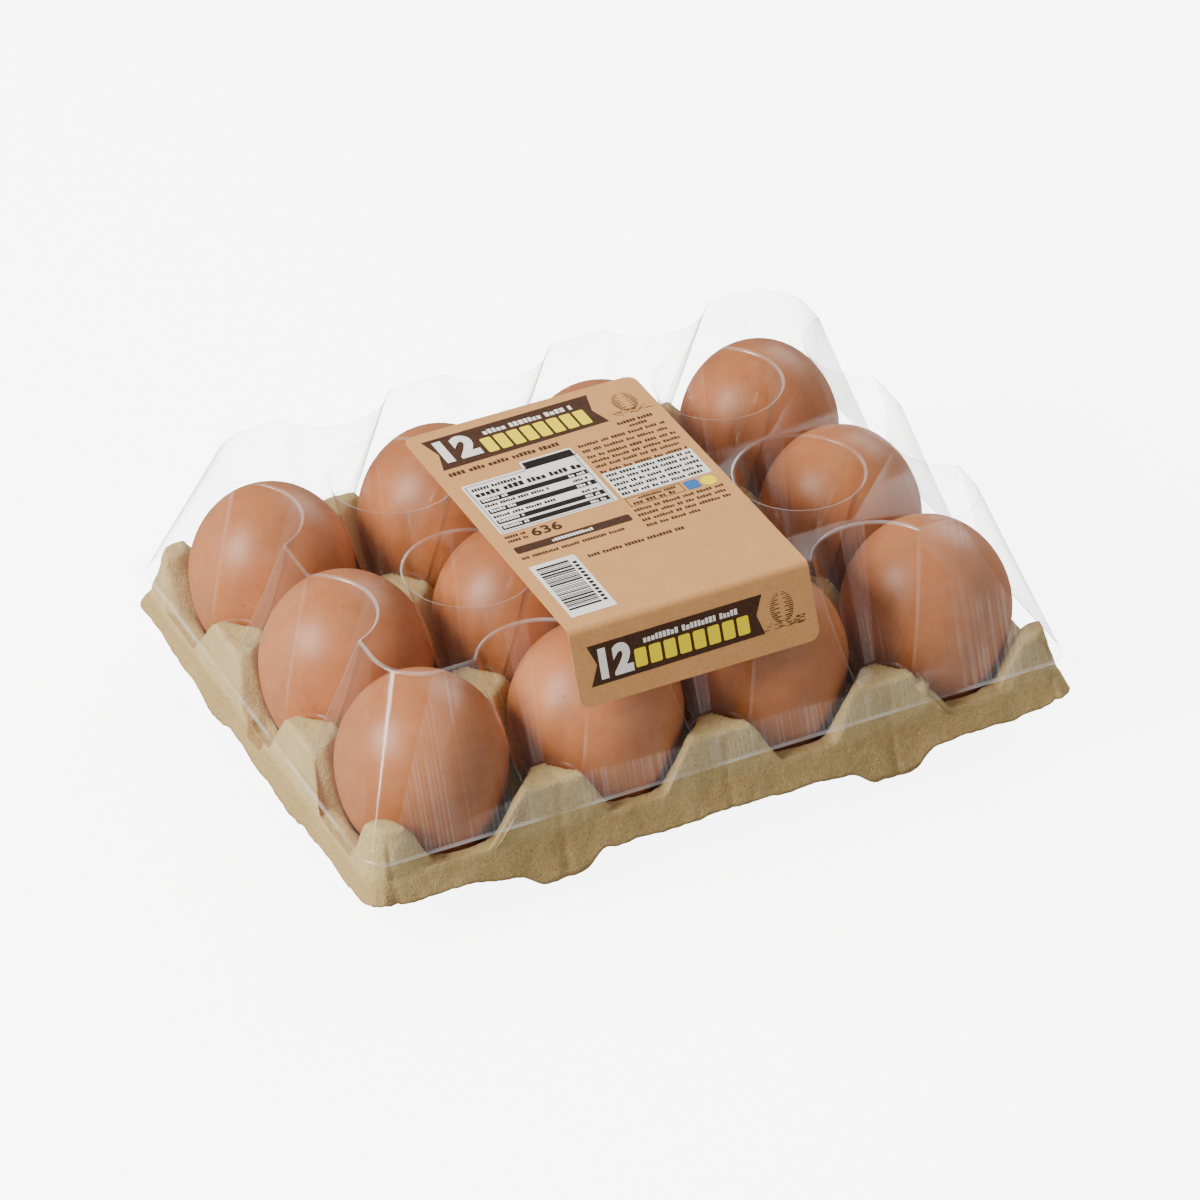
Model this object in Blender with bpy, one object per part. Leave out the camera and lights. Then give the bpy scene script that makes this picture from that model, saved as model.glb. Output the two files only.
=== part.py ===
"""Egg carton with eggs: a moulded pulp tray, its eggs, a clear lid and a paper band.

Metres, +Z up. The origin is on the table, under the middle of the pack.
+X runs along the long side, and the band's printed flap hangs down the -Y side.
"""
import math

import bmesh
import bpy
from mathutils import Matrix, Vector

MM = 0.001

# Layout of the cups
PITCH = 48 * MM              # centre to centre of neighbouring cups
COLUMNS = 4                  # cups along X
ROWS = 3                     # cups along Y
HALF_CELL = PITCH / 2
GRID_X = COLUMNS * HALF_CELL
GRID_Y = ROWS * HALF_CELL
TOUCH_GAP = 0.3 * MM         # left between pieces that rest on each other

# Pulp tray
PULP = 1.6 * MM              # wall thickness
FLOOR_RADIUS = 10 * MM       # flat bottom of a cup
BOWL_RADIUS = 16 * MM        # half way up the cup's bowl
CUP_RADIUS = 26.8 * MM       # where a cup's wall would reach the post tops
POST_TOP = 33 * MM           # height of the posts that carry the lid
POST_BASE_RADIUS = 16 * MM
POST_CROWN_RADIUS = 8.5 * MM
POST_CURVE = 1.15            # power of the post's flanks
CORNER_POST_CUT = 2.5 * MM   # by which a corner post is slimmer all round
RIM_TOP = 19.5 * MM          # outer rim of the cups
SADDLE_TOP = 17 * MM         # ridge between two cups
RIM_REACH_X = 5 * MM         # rim beyond the outer grid lines
RIM_REACH_Y = 2.5 * MM
RIM_CORNER = 5 * MM          # of the rim and the lip in plan
POST_CORNER = 7 * MM         # of the corner posts at their tops
POST_LEAN_X = 3 * MM         # how far an outer post face leans in from rim to top
POST_LEAN_Y = 1.75 * MM
SADDLE_START = 4 * MM        # the rim falls to the ridges between these insets
SADDLE_END = 12 * MM
FLARE_X = 2 * MM             # lip beyond the rim
FLARE_Y = 3.5 * MM
LIP_CORNER_HEIGHT = 14.5 * MM  # lower edge of the skirt above the table, at a corner
LONG_BOW = 3.8 * MM          # how far that edge is lower in the middle of a long side
SHORT_BOW = 2 * MM           # and of a short side
LUG_DROP = 3.6 * MM          # lugs below every second post of the long sides
SIDE_LUG_DROP = 1.6 * MM     # and below the posts of the short sides
LUG_HALF_WIDTH = 13 * MM
LUG_PUSH = 0.15              # share of a lug's drop by which it also stands out
NOTCH_TOP = 16 * MM          # finger notch in the middle of each short side
NOTCH_HALF_WIDTH = 6 * MM
NOTCH_DEPTH = 6 * MM

# Clear lid
FILM = 0.6 * MM              # wall thickness
LID_TOP = 70.45 * MM
LID_HALF_X = 87 * MM         # where the walls would meet the flat top
LID_HALF_Y = 62 * MM
LID_SHOULDER = 1.2 * MM      # flat cut along that edge
LID_TOP_CORNER = 14 * MM
WALL_SLOPE = 0.326           # outward run of the walls for each unit of drop
FLANGE_TOP = 26 * MM
FLANGE_WIDTH = 2.3 * MM
WALL_CORNER = 6 * MM         # of the walls at the flange
FLANGE_CORNER = 2 * MM
CONE_TOP_RADIUS = 17.4 * MM  # recesses that reach down to the posts
CONE_FOOT_RADIUS = 7.75 * MM
CONE_FOOT = 33.9 * MM
SIDE_CONE_INSET = 2.6 * MM   # a side recess's top centre lies inside the grid line
CONE_SIDES = 20
CORNER_STEPS = 5

# Paper band
PAPER = 0.3 * MM
BAND_LEFT = -38.5 * MM
BAND_RIGHT = 29.9 * MM
BAND_BACK = 37.1 * MM
BAND_FLAP = 20.6 * MM
BAND_CORNER = 3 * MM

# Eggs: column, row, width, length, lean along X and Y in degrees, shift along X
EGG_SIDES = 14
EGG_RINGS = 9
EGG_BLUNT_SHARE = 0.45       # share of the length above the widest level
EGGS = (
    (0, 0, 44.8, 55.0, -2.0, 0.0, -1.2),
    (1, 0, 46.0, 54.5, 0.0, 0.0, 0.0),
    (2, 0, 44.6, 56.0, 1.0, 1.0, 0.3),
    (3, 0, 45.4, 57.5, 1.5, 0.0, 0.6),
    (0, 1, 45.8, 56.5, -2.0, 0.0, -0.9),
    (1, 1, 44.4, 56.0, 0.0, 1.0, 0.0),
    (2, 1, 45.0, 57.0, 0.0, 0.0, 0.0),
    (3, 1, 43.6, 58.0, 1.0, 0.0, 0.0),
    (0, 2, 44.4, 56.0, -2.0, 0.0, -1.2),
    (1, 2, 44.8, 59.0, 0.0, 1.0, 0.0),
    (2, 2, 44.6, 59.0, 0.0, 0.0, 0.0),
    (3, 2, 43.4, 57.5, 1.0, 1.0, 0.0),
)

# Finishes: base colour, roughness, metallic, alpha
PULP_FINISH = ((0.50, 0.43, 0.29), 0.95, 0.0, 1.0)
FILM_FINISH = ((0.93, 0.95, 0.96), 0.06, 0.0, 0.25)
PAPER_FINISH = ((0.60, 0.40, 0.22), 0.75, 0.0, 1.0)
SHELL_FINISH = ((0.56, 0.27, 0.15), 0.42, 0.0, 1.0)


def clear_scene():
    """Remove every object that is already in the scene."""
    for old in list(bpy.data.objects):
        bpy.data.objects.remove(old, do_unlink=True)


def finish_material(name, finish):
    """Return a Principled material with the given plain values."""
    colour, roughness, metallic, alpha = finish
    material = bpy.data.materials.new(name)
    material.use_nodes = True
    shader = material.node_tree.nodes["Principled BSDF"]
    shader.inputs["Base Color"].default_value = (*colour, 1.0)
    shader.inputs["Roughness"].default_value = roughness
    shader.inputs["Metallic"].default_value = metallic
    shader.inputs["Alpha"].default_value = alpha
    return material


def new_object(name, mesh_builder, material, sharp_angle=40):
    """Turn a bmesh into a smooth-shaded object of that name."""
    mesh = bpy.data.meshes.new(name)
    mesh_builder.to_mesh(mesh)
    mesh_builder.free()
    mesh.materials.append(material)
    mesh.shade_smooth()
    mesh.set_sharp_from_angle(angle=math.radians(sharp_angle))
    piece = bpy.data.objects.new(name, mesh)
    bpy.context.scene.collection.objects.link(piece)
    return piece


def smooth_step(start, end, value):
    """Rise smoothly from 0 at start to 1 at end."""
    share = min(max((value - start) / (end - start), 0.0), 1.0)
    return share * share * (3 - 2 * share)


def cell_centre(column, row):
    """Return the middle of a cup in plan."""
    return Vector(((column - (COLUMNS - 1) / 2) * PITCH, (row - (ROWS - 1) / 2) * PITCH))


def rim_inset(x, y):
    """Return how far a point lies inside the rim's rounded outline."""
    half_x = GRID_X + RIM_REACH_X - RIM_CORNER
    half_y = GRID_Y + RIM_REACH_Y - RIM_CORNER
    over_x = abs(x) - half_x
    over_y = abs(y) - half_y
    if over_x > 0 and over_y > 0:
        return RIM_CORNER - math.hypot(over_x, over_y)
    return RIM_CORNER - max(over_x, over_y)


def nearest_post_distance(x, y):
    """Return the distance in plan to the nearest crossing of the grid lines."""
    near_x = round((x + GRID_X) / PITCH) * PITCH - GRID_X
    near_y = round((y + GRID_Y) / PITCH) * PITCH - GRID_Y
    at_corner = abs(near_x) > GRID_X - MM and abs(near_y) > GRID_Y - MM
    return math.hypot(x - near_x, y - near_y) + CORNER_POST_CUT * at_corner


def cup_height(distance):
    """Return the height of a cup's bowl at a distance from its axis."""
    if distance <= FLOOR_RADIUS:
        return PULP
    share = (distance - FLOOR_RADIUS) / (CUP_RADIUS - FLOOR_RADIUS)
    return PULP + (POST_TOP - PULP) * share ** 2


def post_height(distance):
    """Return the height of a post at a distance from its axis."""
    if distance <= POST_CROWN_RADIUS:
        return POST_TOP
    share = (distance - POST_CROWN_RADIUS) / (POST_BASE_RADIUS - POST_CROWN_RADIUS)
    return POST_TOP - (POST_TOP - RIM_TOP) * share ** POST_CURVE


def land_height(x, y):
    """Return the height of the rim, the ridges and the finger notches."""
    inset = rim_inset(x, y)
    land = RIM_TOP + (SADDLE_TOP - RIM_TOP) * smooth_step(SADDLE_START, SADDLE_END, inset)
    in_notch = abs(y) < NOTCH_HALF_WIDTH + 0.1 * MM and GRID_X + RIM_REACH_X - abs(x) < NOTCH_DEPTH
    return NOTCH_TOP if in_notch else land


def tray_height(x, y):
    """Return the height of the pulp's upper face inside the rim."""
    column = min(max(int((x + GRID_X) / PITCH), 0), COLUMNS - 1)
    row = min(max(int((y + GRID_Y) / PITCH), 0), ROWS - 1)
    axis = cell_centre(column, row)
    cup = cup_height(math.hypot(x - axis.x, y - axis.y))
    return min(cup, max(land_height(x, y), post_height(nearest_post_distance(x, y))))


def cell_outline(column, row):
    """Return a cup's boundary in plan, anticlockwise, relative to its axis."""
    edge_x = HALF_CELL + RIM_REACH_X - POST_LEAN_X
    edge_y = HALF_CELL + RIM_REACH_Y - POST_LEAN_Y
    reach = {
        "left": edge_x if column == 0 else HALF_CELL,
        "right": edge_x if column == COLUMNS - 1 else HALF_CELL,
        "front": edge_y if row == 0 else HALF_CELL,
        "back": edge_y if row == ROWS - 1 else HALF_CELL,
    }
    post_foot = HALF_CELL - POST_BASE_RADIUS
    post_crown = HALF_CELL - POST_CROWN_RADIUS
    outline = []
    turns = (("right", "back"), ("back", "left"), ("left", "front"), ("front", "right"))
    for quarter, (side, following) in enumerate(turns):
        turn = Matrix.Rotation(quarter * math.pi / 2, 2)
        notched = side in ("left", "right") and reach[side] > HALF_CELL and row == 1
        stops = [-post_crown, -post_foot, 0.0, post_foot, post_crown]
        if notched:
            notch = NOTCH_HALF_WIDTH
            stops = [-post_crown, -post_foot, -notch, 0.0, notch, post_foot, post_crown]
        outline += [turn @ Vector((reach[side], stop)) for stop in stops]
        if reach[side] > HALF_CELL and reach[following] > HALF_CELL:
            middle = Vector((reach[side] - POST_CORNER, reach[following] - POST_CORNER))
            for step in range(4):
                angle = math.radians(10 + step * 70 / 3)
                outline.append(turn @ (middle + POST_CORNER * Vector((math.cos(angle), math.sin(angle)))))
        else:
            outline.append(turn @ Vector((reach[side], reach[following])))
    return outline


def spoke_rings(length):
    """Return the distances of a spoke's points, from the floor's edge to the cup's boundary."""
    wall = 0.9 * HALF_CELL
    crest = CUP_RADIUS if length > CUP_RADIUS + 0.5 * MM else (wall + length) / 2
    return (FLOOR_RADIUS, BOWL_RADIUS, wall, crest, length)


def add_cup(tray, column, row, floor_points):
    """Add the upper face of one cup, out to the grid lines or the top of the outer faces."""
    axis = cell_centre(column, row)
    middle = tray.verts.new((axis.x, axis.y, PULP))
    floor_points.append(middle)
    spokes = []
    for corner in cell_outline(column, row):
        direction = corner.normalized()
        spoke = []
        for distance in spoke_rings(corner.length):
            place = axis + direction * distance
            spoke.append(tray.verts.new((place.x, place.y, tray_height(place.x, place.y))))
        floor_points.append(spoke[0])
        spokes.append(spoke)
    for spoke, following in zip(spokes, spokes[1:] + spokes[:1]):
        tray.faces.new((middle, spoke[0], following[0]))
        for inner, outer in zip(range(4), range(1, 5)):
            add_split_quad(tray, (spoke[inner], spoke[outer], following[outer], following[inner]))


def add_split_quad(tray, corners):
    """Add a four-sided patch as the two triangles that lie closer to the true surface."""
    errors = []
    for first, second in ((0, 2), (1, 3)):
        middle = (corners[first].co + corners[second].co) / 2
        errors.append(abs(middle.z - tray_height(middle.x, middle.y)))
    if errors[0] <= errors[1]:
        tray.faces.new((corners[0], corners[1], corners[2]))
        tray.faces.new((corners[0], corners[2], corners[3]))
    else:
        tray.faces.new((corners[0], corners[1], corners[3]))
        tray.faces.new((corners[1], corners[2], corners[3]))


def outward(point):
    """Return the outward direction of the tray's outline at a point in plan."""
    half_x = GRID_X + RIM_REACH_X - POST_LEAN_X - POST_CORNER
    half_y = GRID_Y + RIM_REACH_Y - POST_LEAN_Y - POST_CORNER
    over = Vector((max(abs(point.x) - half_x, 0.0), max(abs(point.y) - half_y, 0.0)))
    if over.x > 0 and over.y > 0:
        over.normalize()
    else:
        over = Vector((1.0, 0.0)) if over.x > 0 else Vector((0.0, 1.0))
    return Vector((math.copysign(over.x, point.x), math.copysign(over.y, point.y)))


def on_outline(point, direction, reach_x, reach_y):
    """Move a point of the posts' outline out to an outline at that reach beyond the grid."""
    moved = Vector(point)
    half = (GRID_X + reach_x, GRID_Y + reach_y)
    for axis in range(2):
        if abs(direction[axis]) > 0:
            inside = half[axis] - RIM_CORNER * (1 - abs(direction[axis]))
            moved[axis] = math.copysign(inside, point[axis])
    return moved


def lip_height(point):
    """Return the height of the skirt's lower edge before lugs: it bows down from the corners."""
    long_side = 1 - min(abs(point.x) / (GRID_X + RIM_REACH_X), 1.0) ** 4
    short_side = 1 - min(abs(point.y) / (GRID_Y + RIM_REACH_Y), 1.0) ** 2
    on_long_side = abs(point.y) > GRID_Y
    bow = LONG_BOW * long_side if on_long_side else SHORT_BOW * short_side
    return LIP_CORNER_HEIGHT - bow


def lug_drop(point, direction):
    """Return how far a lug hangs below the skirt at a point of the outline."""
    if abs(abs(direction.x) - abs(direction.y)) < 0.98:
        return 0.0
    if abs(direction.y) > 0.99:
        from_lug = abs(abs(point.x) - PITCH)
        drop = LUG_DROP
    else:
        from_lug = abs(abs(point.y) - HALF_CELL)
        drop = SIDE_LUG_DROP
    return drop * smooth_step(LUG_HALF_WIDTH, 0.0, from_lug)


def add_skirt(tray):
    """Carry the tray's open edge down over the rim to the flared lip."""
    edges = [edge for edge in tray.edges if edge.is_boundary]
    rows = {}
    for edge in edges:
        for vertex in edge.verts:
            if vertex in rows:
                continue
            plan = Vector(vertex.co[:2])
            direction = outward(plan)
            rim = on_outline(plan, direction, RIM_REACH_X, RIM_REACH_Y)
            rim_height = min(RIM_TOP, land_height(rim.x, rim.y))
            drop = lug_drop(plan, direction)
            push = LUG_PUSH * drop
            lip = on_outline(plan, direction, RIM_REACH_X + FLARE_X + push, RIM_REACH_Y + FLARE_Y + push)
            rows[vertex] = (
                tray.verts.new((rim.x, rim.y, rim_height)),
                tray.verts.new((lip.x, lip.y, lip_height(plan) - drop)),
            )
    for edge in edges:
        first, second = edge.verts
        loop = edge.link_loops[0]
        if loop.vert is first:
            first, second = second, first
        rim_a, lip_a = rows[first]
        rim_b, lip_b = rows[second]
        tray.faces.new((first, second, rim_b, rim_a))
        tray.faces.new((rim_a, rim_b, lip_b, lip_a))


def thicken(tray, floor_points):
    """Give the pulp its thickness: an under face, closed to the upper one round the lip."""
    tray.normal_update()
    upper_faces = list(tray.faces)
    edges = [edge for edge in tray.edges if edge.is_boundary]
    flat = {vertex for vertex in floor_points if vertex.is_valid}
    under = {}
    for vertex in list(tray.verts):
        direction = Vector((0, 0, 1)) if vertex in flat else vertex.normal
        under[vertex] = tray.verts.new(vertex.co - direction * PULP)
    for face in upper_faces:
        tray.faces.new([under[vertex] for vertex in reversed(face.verts)])
    for edge in edges:
        first, second = edge.verts
        if edge.link_loops[0].vert is first:
            first, second = second, first
        tray.faces.new((first, second, under[second], under[first]))


def make_tray():
    """Make the pulp tray: cups, posts, rim, notches, skirt and lugs in one wall."""
    tray = bmesh.new()
    floor_points = []
    for column in range(COLUMNS):
        for row in range(ROWS):
            add_cup(tray, column, row, floor_points)
    bmesh.ops.remove_doubles(tray, verts=tray.verts, dist=0.02 * MM)
    add_skirt(tray)
    bmesh.ops.triangulate(tray, faces=tray.faces)
    thicken(tray, floor_points)
    bmesh.ops.triangulate(tray, faces=tray.faces)
    bmesh.ops.recalc_face_normals(tray, faces=tray.faces)
    return new_object("tray", tray, finish_material("pulp", PULP_FINISH))


def rounded_loop(solid, half_x, half_y, corner, height):
    """Add the points of a rounded rectangle, anticlockwise."""
    loop = []
    for quarter, (side_x, side_y) in enumerate(((1, 1), (-1, 1), (-1, -1), (1, -1))):
        for step in range(CORNER_STEPS + 1):
            angle = (quarter + step / CORNER_STEPS) * math.pi / 2
            x = side_x * (half_x - corner) + corner * math.cos(angle)
            y = side_y * (half_y - corner) + corner * math.sin(angle)
            loop.append(solid.verts.new((x, y, height)))
    return loop


def closed_loft(solid, loops):
    """Join loops of equal length, lowest first, into one closed body."""
    solid.faces.new(list(reversed(loops[0])))
    for lower, upper in zip(loops, loops[1:]):
        for index in range(len(lower)):
            following = (index + 1) % len(lower)
            solid.faces.new((lower[index], lower[following], upper[following], upper[index]))
    solid.faces.new(loops[-1])


def lid_block(name, shrink, top, bottom):
    """Make the lid's full form, shrunk all round, between two heights."""
    solid = bmesh.new()
    loops = []
    for height, inset in ((bottom, 0.0), (top - LID_SHOULDER, 0.0), (top, LID_SHOULDER)):
        run = WALL_SLOPE * (LID_TOP - height) - shrink - inset
        share = (LID_TOP - height) / (LID_TOP - FLANGE_TOP)
        corner = LID_TOP_CORNER + (WALL_CORNER - LID_TOP_CORNER) * share
        loops.append(rounded_loop(solid, LID_HALF_X + run, LID_HALF_Y + run, corner, height))
    closed_loft(solid, loops)
    return new_object(name, solid, bpy.data.materials["film"])


def flange_plate():
    """Make the lid's flange as a plate with nearly square corners."""
    run = WALL_SLOPE * (LID_TOP - FLANGE_TOP) + FLANGE_WIDTH
    solid = bmesh.new()
    loops = []
    for height in (FLANGE_TOP - FILM, FLANGE_TOP):
        loops.append(rounded_loop(solid, LID_HALF_X + run, LID_HALF_Y + run, FLANGE_CORNER, height))
    closed_loft(solid, loops)
    return new_object("flange_plate", solid, bpy.data.materials["film"])


def cone_places():
    """List the recesses: each foot centre with the direction in which its top moves inwards."""
    places = []
    for column in range(COLUMNS + 1):
        for row in range(ROWS + 1):
            at_side = column in (0, COLUMNS)
            at_front = row in (0, ROWS)
            if at_side and at_front:
                continue
            foot = Vector((column * PITCH - GRID_X, row * PITCH - GRID_Y))
            inward = Vector((-math.copysign(at_side, foot.x), -math.copysign(at_front, foot.y)))
            places.append((foot, inward))
    return places


def cone_cutters(name, grow, foot_height):
    """Make all recess cones as one cutter, each grown all round."""
    solid = bmesh.new()
    over = 3 * MM
    widening = (CONE_TOP_RADIUS - CONE_FOOT_RADIUS) / (LID_TOP - CONE_FOOT)
    for foot, inward in cone_places():
        loops = []
        for height in (foot_height, LID_TOP + over):
            share = (height - CONE_FOOT) / (LID_TOP - CONE_FOOT)
            middle = foot + inward * SIDE_CONE_INSET * share
            radius = CONE_FOOT_RADIUS + widening * (height - CONE_FOOT) + grow
            turn = [2 * math.pi * (index + 0.5) / CONE_SIDES for index in range(CONE_SIDES)]
            loops.append([
                solid.verts.new((middle.x + radius * math.cos(a), middle.y + radius * math.sin(a), height))
                for a in turn
            ])
        closed_loft(solid, loops)
    return new_object(name, solid, bpy.data.materials["film"])


def boolean(piece, cutter, operation):
    """Apply one Boolean to a piece and remove the cutter."""
    modifier = piece.modifiers.new(operation.lower(), "BOOLEAN")
    modifier.operation = operation
    modifier.solver = "EXACT"
    modifier.object = cutter
    shape = piece.evaluated_get(bpy.context.evaluated_depsgraph_get())
    mesh = bpy.data.meshes.new_from_object(shape)
    piece.modifiers.remove(modifier)
    piece.data = mesh
    bpy.data.objects.remove(cutter, do_unlink=True)


def make_lid():
    """Make the clear lid: a thin wall over the eggs, with recesses that stand on the posts."""
    finish_material("film", FILM_FINISH)
    slant = FILM * math.hypot(1, WALL_SLOPE)
    lid = lid_block("lid", 0.0, LID_TOP, FLANGE_TOP - FILM)
    boolean(lid, cone_cutters("recesses", 0.0, CONE_FOOT), "DIFFERENCE")
    boolean(lid, flange_plate(), "UNION")
    hollow = lid_block("hollow", slant, LID_TOP - FILM, FLANGE_TOP - 4 * FILM)
    boolean(hollow, cone_cutters("grown_recesses", slant, CONE_FOOT - FILM), "DIFFERENCE")
    boolean(lid, hollow, "DIFFERENCE")
    return lid


def band_path():
    """Return the lid's outline under the band in Y and Z, from the back to the flap's end."""
    shoulder = Vector((-LID_HALF_Y - WALL_SLOPE * LID_SHOULDER, LID_TOP - LID_SHOULDER))
    down = Vector((-WALL_SLOPE, -1.0)).normalized()
    rounding = (0.0, 0.3 * BAND_CORNER, BAND_CORNER)
    path = [Vector((BAND_BACK - inset, LID_TOP)) for inset in rounding]
    path.append(Vector((LID_SHOULDER - LID_HALF_Y, LID_TOP)))
    path.append(shoulder)
    path += [shoulder + down * (BAND_FLAP - inset) for inset in reversed(rounding)]
    return path


def offset_path(path, distance):
    """Push an open path outwards, keeping every stretch parallel to itself."""
    normals = []
    for start, end in zip(path, path[1:]):
        along = (end - start).normalized()
        normals.append(Vector((along.y, -along.x)))
    moved = []
    for point, before, after in zip(path, normals[:1] + normals, normals + normals[-1:]):
        mitre = (before + after).normalized()
        moved.append(point + mitre * distance / mitre.dot(before))
    return moved


def make_band():
    """Make the paper band: over the lid's top and down its front wall."""
    band = bmesh.new()
    inner = offset_path(band_path(), TOUCH_GAP)
    outer = offset_path(band_path(), TOUCH_GAP + PAPER)
    cut_in = (BAND_CORNER, BAND_CORNER * (1 - math.sqrt(1 - 0.7 ** 2)), 0.0)
    narrowing = [*cut_in, 0.0, 0.0, *reversed(cut_in)]
    sections = []
    for low, high, cut in zip(inner, outer, narrowing):
        left, right = BAND_LEFT + cut, BAND_RIGHT - cut
        sections.append([
            band.verts.new((left, low.x, low.y)),
            band.verts.new((right, low.x, low.y)),
            band.verts.new((right, high.x, high.y)),
            band.verts.new((left, high.x, high.y)),
        ])
    closed_loft(band, sections)
    bmesh.ops.recalc_face_normals(band, faces=band.faces)
    return new_object("label", band, finish_material("paper", PAPER_FINISH))


def egg_ring(width, length, share):
    """Return an egg's radius and height at a share of the way from its lower tip."""
    blunt = length * EGG_BLUNT_SHARE
    pointed = length - blunt
    angle = share * math.pi
    reach = pointed if share < 0.5 else blunt
    return width / 2 * math.sin(angle), pointed - reach * math.cos(angle)


def make_egg(column, row, width, length, lean_x, lean_y, shift):
    """Make one egg, blunt end up, leaning by small angles in its cup."""
    egg = bmesh.new()
    lower = egg.verts.new((0, 0, 0))
    rings = []
    for ring in range(1, EGG_RINGS):
        radius, height = egg_ring(width * MM, length * MM, ring / EGG_RINGS)
        turn = [2 * math.pi * index / EGG_SIDES for index in range(EGG_SIDES)]
        rings.append([egg.verts.new((radius * math.cos(a), radius * math.sin(a), height)) for a in turn])
    upper = egg.verts.new((0, 0, length * MM))
    for index in range(EGG_SIDES):
        following = (index + 1) % EGG_SIDES
        egg.faces.new((lower, rings[0][following], rings[0][index]))
        egg.faces.new((upper, rings[-1][index], rings[-1][following]))
        for low, high in zip(rings, rings[1:]):
            egg.faces.new((low[index], low[following], high[following], high[index]))
    name = f"egg_{row + 1}_{column + 1}"
    piece = new_object(name, egg, bpy.data.materials["shell"], sharp_angle=180)
    lean = Matrix.Rotation(math.radians(lean_x), 4, "Y") @ Matrix.Rotation(-math.radians(lean_y), 4, "X")
    lowest = min((lean @ vertex.co).z for vertex in piece.data.vertices)
    axis = cell_centre(column, row)
    place = Vector((axis.x + shift * MM, axis.y, PULP + TOUCH_GAP - lowest))
    piece.rotation_euler = lean.to_euler()
    piece.location = place
    return piece


def make_eggs():
    """Fill every cup with its own egg."""
    finish_material("shell", SHELL_FINISH)
    for egg in EGGS:
        make_egg(*egg)


clear_scene()
make_tray()
make_eggs()
make_lid()
make_band()
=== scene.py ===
"""Looks of an egg carton with eggs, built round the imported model.

Sizes are in millimetres until a mesh is made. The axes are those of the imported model:
+X along the long side, the band's flap hangs down the -Y side, +Z up.
"""

import logging
import math
import random
from dataclasses import dataclass
from enum import Enum
from itertools import product
from typing import Any, Sequence

import bmesh
import bpy
import numpy as np
from mathutils import Matrix, Vector, noise


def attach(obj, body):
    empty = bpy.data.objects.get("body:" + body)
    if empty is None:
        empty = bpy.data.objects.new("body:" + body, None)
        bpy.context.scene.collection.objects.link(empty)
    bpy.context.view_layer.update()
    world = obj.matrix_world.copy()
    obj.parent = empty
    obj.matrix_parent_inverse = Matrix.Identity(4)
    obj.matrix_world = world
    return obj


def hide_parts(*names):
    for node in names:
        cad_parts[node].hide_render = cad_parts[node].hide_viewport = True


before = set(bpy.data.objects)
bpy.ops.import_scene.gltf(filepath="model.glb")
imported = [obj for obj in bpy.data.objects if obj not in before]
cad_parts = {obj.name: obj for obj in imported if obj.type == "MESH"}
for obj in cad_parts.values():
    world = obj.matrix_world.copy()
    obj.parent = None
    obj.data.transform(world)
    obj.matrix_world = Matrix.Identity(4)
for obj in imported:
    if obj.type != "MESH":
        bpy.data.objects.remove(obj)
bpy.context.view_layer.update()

MM = 0.001
PER_METRE = 1000.0
ORIGIN = (0.0, 0.0, 0.0)
LOG = logging.getLogger("egg_carton")

Colour = tuple[float, float, float]
Place = tuple[float, float, float]
Point = tuple[float, float]
Inputs = dict[Any, Any]
Material = bpy.types.Material
Mesh = bpy.types.Mesh
Node = bpy.types.Node
Object = bpy.types.Object
Tree = bpy.types.NodeTree


def linear(red: int, green: int, blue: int) -> Colour:
    """Turn a display colour from 0 to 255 into linear values."""
    shares = [value / 255 for value in (red, green, blue)]
    return tuple(s / 12.92 if s <= 0.04045 else ((s + 0.055) / 1.055) ** 2.4 for s in shares)


def smooth_step(start: float, end: float, value: Any) -> Any:
    """Rise smoothly from 0 at one level to 1 at another."""
    share = np.clip((value - start) / (end - start), 0.0, 1.0)
    return share * share * (3 - 2 * share)


def smooth_min(first: Any, second: Any, width: float) -> Any:
    """Take the lower of two heights and round the join over a height difference."""
    share = np.clip(0.5 + 0.5 * (second - first) / width, 0.0, 1.0)
    return second * (1 - share) + first * share - width * share * (1 - share)


def smooth_max(first: Any, second: Any, width: float) -> Any:
    """Take the higher of two heights with a rounded join."""
    return -smooth_min(-first, -second, width)


def waves(place: Vector, layers: Sequence[Point]) -> float:
    """Add up layers of noise, each with its height and its length."""
    return sum(height * noise.noise(place / length) for height, length in layers)


def rounded(x: Point, y: Point, radius: float, steps: int) -> list[Point]:
    """List the corners of a rounded rectangle, anticlockwise.

    Args:
        x: Its ends along the first axis.
        y: Its ends along the second axis.
        radius: Radius of its corners.
        steps: Steps round each corner.

    Returns:
        The points.
    """
    points = []
    for quarter, (end_x, end_y, side_x, side_y) in enumerate((
        (x[1], y[1], -1, -1), (x[0], y[1], 1, -1), (x[0], y[0], 1, 1), (x[1], y[0], -1, 1),
    )):
        for step in range(steps + 1):
            angle = (quarter + step / max(steps, 1)) * math.pi / 2
            points.append((
                end_x + side_x * radius + radius * math.cos(angle),
                end_y + side_y * radius + radius * math.sin(angle),
            ))
    return points


def put(name: str, data: bpy.types.ID | None) -> Object:
    """Put data in the scene as a new object.

    Args:
        name: Name of the object.
        data: Its mesh, curve, light or camera.

    Returns:
        The object.
    """
    item = bpy.data.objects.new(name, data)
    bpy.context.scene.collection.objects.link(item)
    return item


def from_parts(name: str, points: Any, faces: Any, material: Material) -> Object:
    """Make a smooth piece from points in millimetres and faces.

    Args:
        name: Name of the piece.
        points: Places of the points.
        faces: Point numbers of each face.
        material: Its material.

    Returns:
        The new object.
    """
    mesh = bpy.data.meshes.new(name)
    mesh.from_pydata([tuple(float(v) * MM for v in point) for point in points], [], faces)
    mesh.materials.append(material)
    mesh.shade_smooth()
    return put(name, mesh)


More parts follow.
